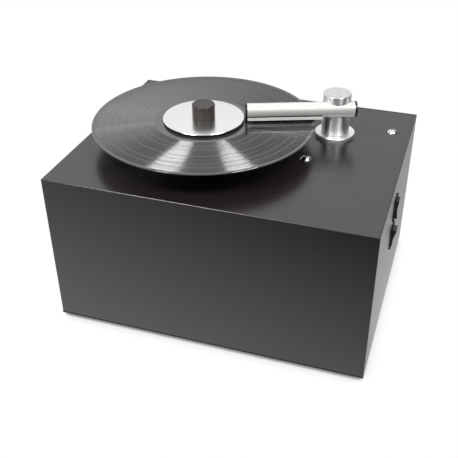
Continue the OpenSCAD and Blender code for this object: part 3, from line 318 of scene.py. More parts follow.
def turned_metal(
    name, colour, roughness, centre, line_mm, contrast=0.12, anisotropy=0.5, blasted=False
):
    """Metal turned on a lathe about an upright axis: rings, drawn coarser than real ones, that
    draw a highlight out across them, but not on level faces that were bead blasted later."""
    surface = {"Metallic": 1.0, "Anisotropic": anisotropy, "Anisotropic Rotation": 0.25}
    made, tree, shader = new_material(name, **surface)
    rings = math_of(tree, "MULTIPLY", radius_from(tree, centre), 1 / (line_mm * MM))
    lines = add(tree, "TexNoise", {"W": rings, "Detail": 3.0}, noise_dimensions="1D").outputs["Fac"]
    smear = grain(tree, place(tree), 9, 3.0)
    toned(tree, shader, lines, colour, 1 - contrast, 1 + contrast / 2)
    uneven(tree, shader, roughness, lines, 0.05, smear, 0.03)
    tree.links.new(round_tangent(tree, centre, blasted), shader.inputs["Tangent"])
    relief(tree, shader, lines, 0.002, 0.25)
    return made


def drawn_metal(
    name,
    colour,
    roughness,
    turn=0.0,
    lines_along="X",
    line_mm=0.5,
    contrast=0.1,
    depth_mm=0.008,
    metallic=1.0,
):
    """Drawn or extruded metal: die lines along the piece, 50 times as long as they are wide. A
    metallic value under 1 gives it the pale, scattering skin of etched metal."""
    made, tree, shader = new_material(name, Metallic=metallic)
    stretch = {"X": (0.02, 1, 1), "Y": (1, 0.02, 1), "Z": (1, 1, 0.02)}[lines_along]
    lines = grain(tree, place(tree, turn=turn, scale=stretch), line_mm, 3.0)
    smear = grain(tree, place(tree), 14, 3.0)
    toned(tree, shader, lines, colour, 1 - contrast, 1 + contrast / 2)
    uneven(tree, shader, roughness, lines, 0.03, smear, 0.03)
    relief(tree, shader, lines, depth_mm, 0.3)
    return made


def plated_steel(name, colour, roughness, spangle_mm=5):
    """Plated or blackened steel: a metal skin with soft cloudy patches."""
    made, tree, shader = new_material(name, Metallic=1.0)
    point = place(tree)
    patches = grain(tree, point, spangle_mm, 2.0)
    fine = grain(tree, point, 0.6, 3.0)
    toned(tree, shader, patches, colour, 0.82, 1.12)
    tree.links.new(spread(tree, patches, roughness - 0.06, roughness + 0.08), shader.inputs["Roughness"])
    relief(tree, shader, fine, 0.01, 0.3)
    return made


# Colours and sizes that a user would change


def colour_setting(name, hex_colour, text):
    return FloatVectorProperty(
        name=name, description=text, default=linear(hex_colour), min=0, max=1, subtype="COLOR"
    )


class CleanerColours(bpy.types.PropertyGroup):
    panel: colour_setting("Panels", "#1a1417", "Satin lacquer of the cabinet's panels")
    vinyl: colour_setting("Record", "#131316", "Pressed vinyl of the record")
    label: colour_setting("Label", "#b9b2a2", "Plain paper of the record's label")
    clamp: colour_setting("Clamp disc", "#faf9f7", "Polished aluminium of the clamp")
    knob: colour_setting("Knob", "#2f2b29", "Moulded plastic of the clamp's knob")
    steel: colour_setting("Suction tube", "#e6e3df", "Polished metal of the arm's tube")
    post: colour_setting("Post", "#e8e8e9", "Satin aluminium of the arm's post")
    switch: colour_setting("Switches", "#121212", "Moulded plastic of the rocker switches")


class CleanerSizes(bpy.types.PropertyGroup):
    pile_height: FloatProperty(
        name="Pile height",
        description="Length of the velvet's pile under the suction tube",
        default=0.45 * MM,
        min=0.2 * MM,
        max=0.5 * MM,
        unit="LENGTH",
    )
    pile_pitch: FloatProperty(
        name="Pile pitch",
        description="Distance from one tuft of the velvet to the next",
        default=0.9 * MM,
        min=0.5 * MM,
        max=3 * MM,
        unit="LENGTH",
    )


class CleanerStudio(bpy.types.PropertyGroup):
    key_power: FloatProperty(
        name="Key lamps", description="Power of each softbox beside the camera", default=8.0, min=0
    )
    fill_power: FloatProperty(
        name="Fill lamp", description="Power of the lamp above the machine", default=4.0, min=0
    )
    lens: FloatProperty(
        name="Lens", description="Focal length on a 36 mm sensor", default=58.7, min=20, max=200
    )


def colours():
    """The colours that the user has set."""
    return bpy.context.scene.cleaner_colours


def sizes():
    """The velvet's sizes that the user has set."""
    return bpy.context.scene.cleaner_sizes


def studio():
    """The lamps and lens that the user has set."""
    return bpy.context.scene.cleaner_studio


class PieceOperator:
    """What every operator here shares: it can be undone and run again."""

    bl_options = {"REGISTER", "UNDO"}


class CLEANER_OT_cabinet(PieceOperator, bpy.types.Operator):
    """Finishes the cabinet's panels, its corner angles, screws and feet"""

    bl_idname = "cleaner.cabinet"
    bl_label = "Cabinet"

    def execute(self, context):
        panel = tuple(colours().panel)
        # Coil coated composite sheet, satin: dark until it mirrors the bright backdrop
        sheet = lacquered_sheet("satin_lacquered_sheet", panel, 0.29, ior=1.78)
        dress(sheet, "front_panel", "left_panel", "right_panel")
        # The top is the same sheet, worn a little smoother by wiping
        dress(lacquered_sheet("wiped_satin_sheet", panel, 0.27, ior=1.74), "top_panel")
        # The uncoated back of the same sheet, duller and a little lighter
        back = lacquered_sheet("sheet_back", tuple(c * 1.3 for c in panel), 0.55, 1.4)
        dress(back, "rear_panel", "base_panel")
        # Extruded aluminium angle, mill finish: long pale die lines
        mill = linear("#b8b9bb")
        dress(drawn_metal("mill_finish_angle", mill, 0.38, lines_along="Z"), "corner_angles")
        dress(drawn_metal("mill_finish_rail", mill, 0.38, lines_along="Y"), "rails")
        # Blackened steel screws, slightly oily
        black = plated_steel("blackened_steel", linear("#2c2c2e"), 0.35, 3)
        dress(black, "panel_screws", "plate_screws", "tube_grub_screw")
        # Hard rubber feet, matt and nearly black
        dress(moulded_rubber("foot_rubber", linear("#161616")), "rubber_feet")
        # Smoked acrylic lens, glossy and nearly black when unlit
        lens = moulded_plastic("smoked_acrylic", linear("#0c0c0e"), 0.12, grain_mm=2.0, depth_mm=0.004)
        dress(lens, "indicator_lens")
        return {"FINISHED"}


class CLEANER_OT_record(PieceOperator, bpy.types.Operator):
    """Finishes the record with its grooves, gaps, run-out and label, and the platter under it"""

    bl_idname = "cleaner.record"
    bl_label = "Record and platter"

    # Silent bands between the tracks: radius and half width
    gaps_mm = ((134.0, 0.55), (124.6, 0.5), (105.0, 0.55), (88.0, 0.5), (79.0, 0.5))
    lead_in_mm = 146.3
    run_out_mm = 67.0
    label_mm = 50.2
    # Distance from one turn of the groove to the next, and how steeply its walls lean
    groove_mm = 0.12
    steep_wall = 0.87
    shallow_wall = 0.36
    wall_swing = 0.03
    shallow_share = 0.2
    # Width of a loud or quiet passage, where real ones are finer
    passage_mm = 1.5
    # Roughness of quiet to loud grooves, of ungrooved vinyl and of the label's paper
    groove_roughness = (0.135, 0.17)
    bare_roughness = 0.16
    paper_roughness = 0.7
    # The mat's bore, and the distance, width and depth of the furrows between its ribs
    mat_bore = 5.05 * MM
    rib_pitch = 3 * MM
    furrow_half = 0.45 * MM
    furrow_depth = 0.5 * MM
    mat_edge = 0.4 * MM
    # The pin's thread
    thread_radius = 3.62 * MM
    thread_depth = 0.35 * MM
    thread_pitch = 1.25 * MM
    thread_steps = 32

    def execute(self, context):
        vinyl = tuple(colours().vinyl)
        # Pressed vinyl: its flat lands mirror the room like a coat, and under them the walls of
        # the grooves lean outward, so a lamp shows on them as a bright wedge from the middle
        made, tree, shader = new_material(
            "pressed_vinyl",
            **{
                "IOR": 1.45,
                "Specular IOR Level": 0.68,
                "Coat Weight": 0.75,
                "Coat Roughness": 0.05,
                "Coat IOR": 1.48,
            },
        )
        radius = radius_from(tree, SPINDLE)
        radius_mm = math_of(tree, "MULTIPLY", radius, 1000.0)
        gap = None
        for centre, half in self.gaps_mm:
            band = math_of(tree, "COMPARE", radius_mm, centre, half)
            gap = band if gap is None else math_of(tree, "MAXIMUM", gap, band)
        smooth = math_of(tree, "GREATER_THAN", radius_mm, self.lead_in_mm)
        smooth = math_of(tree, "MAXIMUM", smooth, math_of(tree, "LESS_THAN", radius_mm, self.run_out_mm))
        smooth = math_of(tree, "MAXIMUM", smooth, gap)
        label = math_of(tree, "LESS_THAN", radius_mm, self.label_mm)
        at = math_of(tree, "MULTIPLY", radius_mm, 1 / self.passage_mm)
        inputs = {"W": at, "Detail": 4.0, "Roughness": 0.7}
        passages = add(tree, "TexNoise", inputs, noise_dimensions="1D").outputs["Fac"]
        groove = colour_mix(tree, passages, tuple(c * 0.7 for c in vinyl), tuple(c * 1.6 for c in vinyl))
        bare = colour_mix(tree, smooth, groove, tuple(c * 1.5 + 0.02 for c in vinyl))
        fibre = grain(tree, place(tree), 0.8, 4.0)
        paper_colour = tuple(colours().label)
        paper = colour_mix(tree, fibre, tuple(c * 0.85 for c in paper_colour), paper_colour)
        tree.links.new(colour_mix(tree, label, bare, paper), shader.inputs["Base Color"])
        grooved = spread(tree, passages, *self.groove_roughness)
        rough = add(tree, "Mix", {"Factor": smooth, 2: grooved, 3: self.bare_roughness}).outputs[0]
        rough = add(tree, "Mix", {"Factor": label, 2: rough, 3: self.paper_roughness}).outputs[0]
        tree.links.new(rough, shader.inputs["Roughness"])
        plain = math_of(tree, "MAXIMUM", smooth, label)
        tree.links.new(self.walls(tree, radius_mm, plain), shader.inputs["Normal"])
        dress(made, "vinyl_record")
        # Aluminium platter, faced on a lathe
        dress(turned_metal("faced_aluminium", linear("#c6c7c9"), 0.3, SPINDLE, 0.8), "platter")
        self.mat()
        # Ground steel shaft: smooth and bright
        steel = turned_metal("ground_steel", linear("#c9c9c8"), 0.18, SPINDLE, 0.4)
        dress(steel, "platter_spindle")
        self.thread(steel)
        # Sintered bronze: brown and dull, as it is full of pores
        dress(turned_metal("sintered_bronze", linear("#a9713c"), 0.42, SPINDLE, 0.8), "spindle_bearing")
        return {"FINISHED"}

    def walls(self, tree, radius_mm, plain):
        """Normals of the grooves' outward walls, every turn of the groove at its own slope."""
        turn = math_of(tree, "FLOOR", math_of(tree, "MULTIPLY", radius_mm, 1 / self.groove_mm))
        chance = add(tree, "TexWhiteNoise", {"W": turn}, noise_dimensions="1D").outputs["Value"]
        steep = math_of(tree, "GREATER_THAN", chance, self.shallow_share)
        slope = spread(tree, steep, self.shallow_wall, self.steep_wall)
        swing = spread(tree, chance, -self.wall_swing, self.wall_swing)
        slope = math_of(tree, "ADD", slope, swing)
        slope = math_of(tree, "MULTIPLY", slope, math_of(tree, "SUBTRACT", 1.0, plain))
        inputs = {0: unit(tree, out_from(tree, SPINDLE)), "Scale": slope}
        leaning = add(tree, "VectorMath", inputs, operation="SCALE").outputs[0]
        normal = add(tree, "VectorMath", {0: leaning, 1: (0, 0, 1)}, operation="ADD").outputs[0]
        return to_world(tree, normal)

    def mat(self):
        """Rubber mat with low concentric ribs that the record lies on."""
        lo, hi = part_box("platter_mat")
        outer = (hi.x - lo.x) / 2
        edge, half = self.mat_edge, self.furrow_half
        top = [(self.mat_bore, hi.z)]
        for number in range(1, int((outer - self.mat_bore) / self.rib_pitch)):
            at = self.mat_bore + number * self.rib_pitch
            top += [(at - half, hi.z), (at, hi.z - self.furrow_depth), (at + half, hi.z)]
        profile = [(self.mat_bore, lo.z), (outer, lo.z), (outer, hi.z - edge), (outer - edge, hi.z)]
        shape = lathe(profile + top[::-1], (SPINDLE.x, SPINDLE.y, 0), (0, 0, 1), 128)
        rubber = moulded_rubber("mat_rubber", linear("#191919"))
        piece = finish_piece("ribbed_mat", shape, rubber, "platter", smooth=False)
        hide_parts("platter_mat")

    def thread(self, steel):
        """The screw thread on the pin, which the clamp's knob runs on."""
        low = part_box("vinyl_record")[1].z + 0.5 * MM
        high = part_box("platter_spindle")[1].z - 1.2 * MM
        pitch, depth, around = self.thread_pitch, self.thread_depth, self.thread_steps
        root = self.thread_radius - depth
        foot = root - 0.1 * MM
        shape = bmesh.new()
        turns = (high - low) / pitch
        rings = []
        for step in range(int(turns * around) + 1):
            turn = 2 * math.pi * step / around
            out = Vector((math.cos(turn), math.sin(turn), 0))
            centre = Vector((SPINDLE.x, SPINDLE.y, low + pitch * step / around))
            # The crest rises in half a turn from either end
            ends = min(step, turns * around - step) / around
            crest = root + depth * min(1, 2 * ends)
            ring = []
            for r, k in ((foot, -0.42), (crest, -0.08), (crest, 0.08), (foot, 0.42)):
                ring.append(shape.verts.new(centre + out * r + Vector((0, 0, k * pitch))))
            rings.append(ring)
        for first, second in zip(rings, rings[1:]):
            for k in range(4):
                shape.faces.new((first[k], second[k], second[(k + 1) % 4], first[(k + 1) % 4]))
        shape.faces.new(rings[0])
        shape.faces.new(rings[-1])
        finish_piece("pin_thread", shape, steel, "platter", smooth=False)


class CLEANER_OT_clamp(PieceOperator, bpy.types.Operator):
    """Finishes the record clamp: disc, pad, bush and knob"""

    bl_idname = "cleaner.clamp"
    bl_label = "Clamp"

    pad_bore = 6.05 * MM
    pad_edge = 0.8 * MM

    def execute(self, context):
        # Polished aluminium: a clear but soft mirror with the last trace of its turning
        bright = tuple(colours().clamp)
        disc = turned_metal("polished_disc", bright, 0.21, SPINDLE, 0.5, contrast=0.03, anisotropy=0.2)
        dress(disc, "clamp_disc")
        # Soft rubber pad that spares the label
        lo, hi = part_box("clamp_pad")
        profile = rounded(self.pad_bore, (hi.x - lo.x) / 2, lo.z, hi.z, self.pad_edge)
        shape = lathe(profile, (SPINDLE.x, SPINDLE.y, 0), (0, 0, 1), 128)
        rubber = moulded_rubber("clamp_rubber", linear("#0b0b0b"), 0.6)
        pad = finish_piece("soft_clamp_pad", shape, rubber, "clamp")
        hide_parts("clamp_pad")
        # Brass bush, yellow and bright
        dress(turned_metal("turned_brass", linear("#c9a24d"), 0.25, SPINDLE, 0.5), "clamp_bush")
        # Moulded knob in a warm dark plastic with a silky skin
        warm = tuple(colours().knob)
        knob = moulded_plastic("knob_plastic", warm, 0.36, grain_mm=0.6, depth_mm=0.015)
        dress(knob, "clamp_knob")
        return {"FINISHED"}


class CLEANER_OT_arm(PieceOperator, bpy.types.Operator):
    """Finishes the suction arm: post, flange, riser, tube, shoe and caps"""

    bl_idname = "cleaner.arm"
    bl_label = "Suction arm"

    # How far the painted shade under the tube reaches down from the shoe's top, which the tube hides
    painted_shade_depth = 1.3 * MM

    def execute(self, context):
        # Tube polished round and round, so its highlights are crisp bands along it
        tube = drawn_metal(
            "polished_tube",
            tuple(colours().steel),
            0.33,
            turn=ARM_TURN,
            line_mm=0.7,
            contrast=0.05,
            depth_mm=0.002,
            metallic=0.5,
        )
        tree = tube.node_tree
        shader = tree.nodes["Principled BSDF"]
        shader.inputs["Anisotropic"].default_value = 1.0
        tree.links.new(to_world(tree, tuple(ARM_DIRECTION)), shader.inputs["Tangent"])
        dress(tube, "arm_tube")
        self.shoe()
        # Turned aluminium, its level faces blasted: the post's side keeps a streak down it, and
        # the tops of post and flange are evenly pale
        pale = tuple(colours().post)
        post = turned_metal("satin_post", pale, 0.35, POST, 0.7, 0.05, anisotropy=1.0, blasted=True)
        dress(post, "arm_post")
        white = linear("#fafafa")
        flange = turned_metal("satin_flange", white, 0.45, POST, 0.7, 0.05, anisotropy=0.4, blasted=True)
        dress(flange, "arm_flange")
        # Zinc plated nut, a waxy white acetal bush and a ground riser, bright where it slides
        dress(plated_steel("zinc_plated_nut", linear("#b9bcc0"), 0.3), "flange_nut")
        dress(moulded_plastic("acetal_bush", linear("#d9d8d2"), 0.35), "riser_bush")
        dress(turned_metal("riser_steel", linear("#c9c9c8"), 0.2, POST, 0.5), "suction_riser")
        # Black end caps, moulded and slightly glossy
        dress(moulded_plastic("cap_plastic", linear("#0b0b0c"), 0.3), "tip_cap", "tail_cap")
        return {"FINISHED"}

    def shoe(self):
        """Etched aluminium shoe, pale all over, with a dark band of painted shade at its top, where it
        meets the tube.
        """
        made = drawn_metal(
            "etched_shoe",
            linear("#f2f1ef"),
            0.5,
            turn=ARM_TURN,
            line_mm=0.7,
            contrast=0.04,
            depth_mm=0.003,
            metallic=0.2,
        )
        tree = made.node_tree
        shader = tree.nodes["Principled BSDF"]
        height = add(tree, "SeparateXYZ", {0: place(tree)}).outputs["Z"]
        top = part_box("nozzle_shoe")[1].z
        # Painted shade: the top of the shoe, just under the tube, is coloured dark
        line = math_of(tree, "GREATER_THAN", height, top - self.painted_shade_depth)
        plain = shader.inputs["Base Color"].links[0].from_socket
        with_painted_shade = colour_mix(tree, line, plain, linear("#141414"))
        tree.links.new(with_painted_shade, shader.inputs["Base Color"])
        dress(made, "nozzle_shoe")


class CLEANER_OT_velvet(PieceOperator, bpy.types.Operator):
    """Makes the velvet strips under the tube, with their pile"""

    bl_idname = "cleaner.velvet"
    bl_label = "Velvet strips"

    # Half the width of the tube's slot, and how far the strips keep from it
    slot_half = 0.8 * MM
    slot_clear = 0.5 * MM
    # How far a tuft stands off its place, in pitches, and its tip's lean and shortfall in mm
    scatter = 0.3
    lean_mm = 0.1
    shortfall_mm = 0.08

    def execute(self, context):
        # Cotton velvet: black, with a soft bright rim where the pile is seen from the side
        velvet, tree, shader = new_material("cotton_velvet", **{"Roughness": 0.9, "Sheen Weight": 0.6})
        fine = grain(tree, place(tree), 1.0, 4.0)
        colour = colour_mix(tree, fine, linear("#050505"), linear("#16161a"))
        tree.links.new(colour, shader.inputs["Base Color"])
        relief(tree, shader, fine, 0.15, 0.8)
        tip = Vector((TIP.x, TIP.y, 0))
        near, far = reach("velvet_strips", -ARM_DIRECTION, tip)
        outer = reach("velvet_strips", ARM_ACROSS, tip)[1]
        inner = self.slot_half + self.slot_clear
        lo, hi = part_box("velvet_strips")
        backing = lo.z + sizes().pile_height
        shape = bmesh.new()
        chance = random.Random(7)
        for side in (-1, 1):
            for v in bmesh.ops.create_cube(shape, size=1)["verts"]:
                height = backing if v.co.z < 0 else hi.z
                length = near + (far - near) * (v.co.x + 0.5)
                v.co = self.under_arm(length, side * (inner + (outer - inner) * (v.co.y + 0.5)))
                v.co.z = height
            self.tufts(shape, chance, side, (near, far), (inner, outer), (lo.z, backing))
        piece = finish_piece("velvet_pile", shape, velvet, "arm")
        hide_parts("velvet_strips")
        return {"FINISHED"}

    def under_arm(self, length, across):
        """A level place: so far back from the arm's tip, and so far to its side."""
        return Vector((TIP.x, TIP.y, 0)) - ARM_DIRECTION * length + ARM_ACROSS * across

    def tufts(self, shape, chance, side, lengths, widths, heights):
        """Hangs the pile's tufts under one strip, each a thin cone with a slight lean."""
        pitch, scatter = sizes().pile_pitch, self.scatter
        for row in range(int((lengths[1] - lengths[0]) / pitch)):
            for line in range(int((widths[1] - widths[0]) / pitch)):
                length = lengths[0] + pitch * (row + 0.5 + chance.uniform(-scatter, scatter))
                across = widths[0] + pitch * (line + 0.5 + chance.uniform(-scatter, scatter))
                foot = self.under_arm(length, side * across)
                lean = ARM_DIRECTION * chance.uniform(-self.lean_mm, self.lean_mm) * MM
                low = heights[0] + chance.uniform(0, self.shortfall_mm) * MM
                tip = shape.verts.new((foot.x + lean.x, foot.y + lean.y, low))
                ring = []
                for k in range(4):
                    turn = k * math.pi / 2
                    out = Vector((math.cos(turn), math.sin(turn), 0)) * pitch * 0.48
                    ring.append(shape.verts.new((foot.x + out.x, foot.y + out.y, heights[1])))
                for k in range(4):
                    shape.faces.new((ring[k], ring[(k + 1) % 4], tip))


class CLEANER_OT_drive(PieceOperator, bpy.types.Operator):
    """Finishes the platter's drive: motor, gearbox, coupling, plate and standoffs"""

    bl_idname = "cleaner.drive"
    bl_label = "Platter drive"

    def execute(self, context):
        # Zinc plated steel plate: pale, with soft spangles
        zinc = plated_steel("zinc_plated_plate", linear("#aeb2b6"), 0.34, 8)
        dress(zinc, "motor_plate", "shaft_coupling")
        pillar = drawn_metal("standoff_aluminium", linear("#bfc0c2"), 0.32, lines_along="Z")
        dress(pillar, "motor_standoffs")
        # Die-cast gearbox, grey and dull, and the motor's drawn can, smooth with broad patches
        dress(plated_steel("die_cast_zinc", linear("#6d6f72"), 0.5, 2), "gearbox")
        dress(plated_steel("drawn_motor_can", linear("#a7a9ab"), 0.3, 12), "drive_motor")
        return {"FINISHED"}


class CLEANER_OT_tank(PieceOperator, bpy.types.Operator):
    """Finishes the tank with its lid, gasket, bolts, baffle, pad and tap"""

    bl_idname = "cleaner.tank"
    bl_label = "Tank"

    def execute(self, context):
        # Chromed dome head screws, the two bright discs on the top panel
        dress(plated_steel("bright_chrome", linear("#e4e5e6"), 0.17, 6), "tank_bolts")
        # Zinc plated nuts and baffle, and a lid moulded in dull grey plastic
        dress(plated_steel("zinc_plated_fixings", linear("#b4b7ba"), 0.32), "tank_nuts", "splash_baffle")
        dress(moulded_plastic("lid_plastic", linear("#3a3a3c"), 0.45), "tank_lid")
        # Natural polyethylene: milky, waxy and a little translucent
        natural = moulded_plastic("natural_polyethylene", linear("#cfd2cf"), 0.45, 1.5, 0.05)
        natural.node_tree.nodes["Principled BSDF"].inputs["Subsurface Weight"].default_value = 0.15
        dress(natural, "waste_tank")
        # Matt black gasket
        dress(moulded_rubber("gasket_rubber", linear("#131313")), "tank_gasket")
        self.pad()
        # Bare brass tap with a plain plastic lever
        dress(plated_steel("bare_brass", linear("#c49a45"), 0.25, 6), "drain_tap")
        dress(moulded_plastic("lever_plastic", linear("#8c1512"), 0.35), "drain_lever")
        return {"FINISHED"}

    def pad(self):
        """Closed-cell foam sheet under the tank, with soft edges."""
        lo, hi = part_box("tank_pad")
        soft_edge = 1.2 * MM
        shape = bmesh.new()
        bmesh.ops.create_cube(shape, size=1)
        for v in shape.verts:
            v.co = Vector([lo[k] + (hi[k] - lo[k]) * (v.co[k] + 0.5) for k in range(3)])
        corner = {"offset": soft_edge, "segments": 4, "profile": 0.5, "material": -1}
        bmesh.ops.bevel(shape, geom=shape.edges[:], affect="EDGES", **corner)
        foam = moulded_rubber("closed_cell_foam", linear("#1f1f21"), 0.9, 1.6)
        piece = finish_piece("tank_foam", shape, foam, "machine")
        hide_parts("tank_pad")


class CLEANER_OT_vacuum(PieceOperator, bpy.types.Operator):
    """Finishes the vacuum unit: fan, motor, cradle, hose and exhaust"""

    bl_idname = "cleaner.vacuum"
    bl_label = "Vacuum unit"

    hose_bore = 16.05 * MM
    hose_skin = 1.6 * MM
    hose_cuff = 18 * MM
    hose_ribs = 14
    rib_height = 1.4 * MM
    rib_steps = 8
    # The sleeve's wall, and the radius at which its inner end meets the fan's shroud
    foam_wall = 3 * MM
    shroud_radius = 58.05 * MM
    # Steps of the sleeve's outline on each upright and each level side
    side_steps = (24, 4)

    def execute(self, context):
        # Pressed from plated sheet with broad patches, round an impeller cast dull
        dress(plated_steel("pressed_shroud", linear("#b4b7ba"), 0.32, 10), "fan_shroud", "hose_clips")
        dress(plated_steel("cast_impeller", linear("#9b9da0"), 0.4, 3), "fan_impeller")
        # Motor in satin black paint, on matt rubber rings in a folded and plated cradle
        dress(moulded_plastic("painted_motor", linear("#151516"), 0.4, 1.2), "vacuum_motor")
        dress(moulded_rubber("ring_rubber", linear("#141414")), "motor_rings")
        dress(plated_steel("folded_cradle", linear("#a9adb0"), 0.36, 9), "motor_cradle")
        self.hose()
        self.sleeve()
        return {"FINISHED"}

    def hose(self):
        """Ribbed rubber hose from the fan to the tank's air nozzle, with plain cuffs."""
        lo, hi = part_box("air_hose")
        centre = Vector((0, (lo.y + hi.y) / 2, (lo.z + hi.z) / 2))
        crest = (hi.z - lo.z) / 2
        root = crest - self.rib_height
        bore, skin, cuff, steps = self.hose_bore, self.hose_skin, self.hose_cuff, self.rib_steps
        pitch = (hi.x - lo.x - 2 * cuff) / self.hose_ribs
        outer = [(bore + skin, lo.x), (bore + skin, lo.x + cuff)]
        inner = [(bore, lo.x), (bore, lo.x + cuff)]
        for rib in range(self.hose_ribs):
            for k in range(steps):
                wave = (1 - math.cos(2 * math.pi * k / steps)) / 2
                at = lo.x + cuff + pitch * (rib + k / steps)
                outer.append((root + (crest - root) * wave, at))
                inner.append((root + (crest - root) * wave - skin, at))
        outer += [(bore + skin, hi.x - cuff), (bore + skin, hi.x)]
        inner += [(bore, hi.x - cuff), (bore, hi.x)]
        rubber = moulded_rubber("hose_rubber", linear("#1d1d1f"), 0.6)
        shape = lathe(outer + inner[::-1], centre, (1, 0, 0), 64)
        piece = finish_piece("ribbed_hose", shape, rubber, "machine")
        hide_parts("air_hose")

    def sleeve(self):
        """Open-cell foam duct that seals the fan's outlet to the rear panel."""
        lo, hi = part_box("exhaust_sleeve")
        centre = (lo + hi) / 2
        half = (hi - lo) / 2
        shape = bmesh.new()
        rings = []
        # Its outer wall from the shroud to the panel, and back by the inner wall
        for inset, at_shroud in ((0, True), (0, False), (self.foam_wall, False), (self.foam_wall, True)):
            ring = []
            for x, z in self.outline(half.x - inset, half.z - inset):
                y = FAN.y + math.sqrt(self.shroud_radius**2 - z**2) if at_shroud else hi.y
                ring.append(shape.verts.new((centre.x + x, y, centre.z + z)))
            rings.append(ring)
        for first, second in zip(rings, rings[1:] + rings[:1]):
            for k in range(len(first)):
                n = (k + 1) % len(first)
                shape.faces.new((first[k], first[n], second[n], second[k]))
        foam = moulded_rubber("open_cell_foam", linear("#242426"), 0.95, 2.2)
        piece = finish_piece("exhaust_foam", shape, foam, "machine", smooth=False)
        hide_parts("exhaust_sleeve")

    def outline(self, half_x, half_z):
        """Points round an upright rectangle, from its lower right corner."""
        upright, level = self.side_steps
        points = []
        for way in (1, -1):
            points += [(way * half_x, way * half_z * (2 * k / upright - 1)) for k in range(upright)]
            points += [(way * half_x * (1 - 2 * k / level), way * half_z) for k in range(level)]
        return points


class CLEANER_OT_electrics(PieceOperator, bpy.types.Operator):
    """Finishes the mains inlet, the fuse drawer, the control board and the switches"""

    bl_idname = "cleaner.electrics"
    bl_label = "Electrics"

    def execute(self, context):
        # Inlet and drawer moulded in a dull black plastic that stands heat
        dress(moulded_plastic("inlet_plastic", linear("#141414"), 0.45), "mains_inlet", "fuse_drawer")
        # Black nylon switches: a matt frame round polished rockers
        black = tuple(colours().switch)
        dress(moulded_plastic("switch_frame", black, 0.4), "switch_housings")
        gloss = moulded_plastic("rocker_gloss", black, 0.22, grain_mm=1.0, depth_mm=0.006)
        dress(gloss, "rotation_rocker", "vacuum_rocker")
        # Fibreglass board with green solder resist
        dress(moulded_plastic("solder_resist", linear("#1c4a2c"), 0.35, 1.2), "control_board")
        return {"FINISHED"}


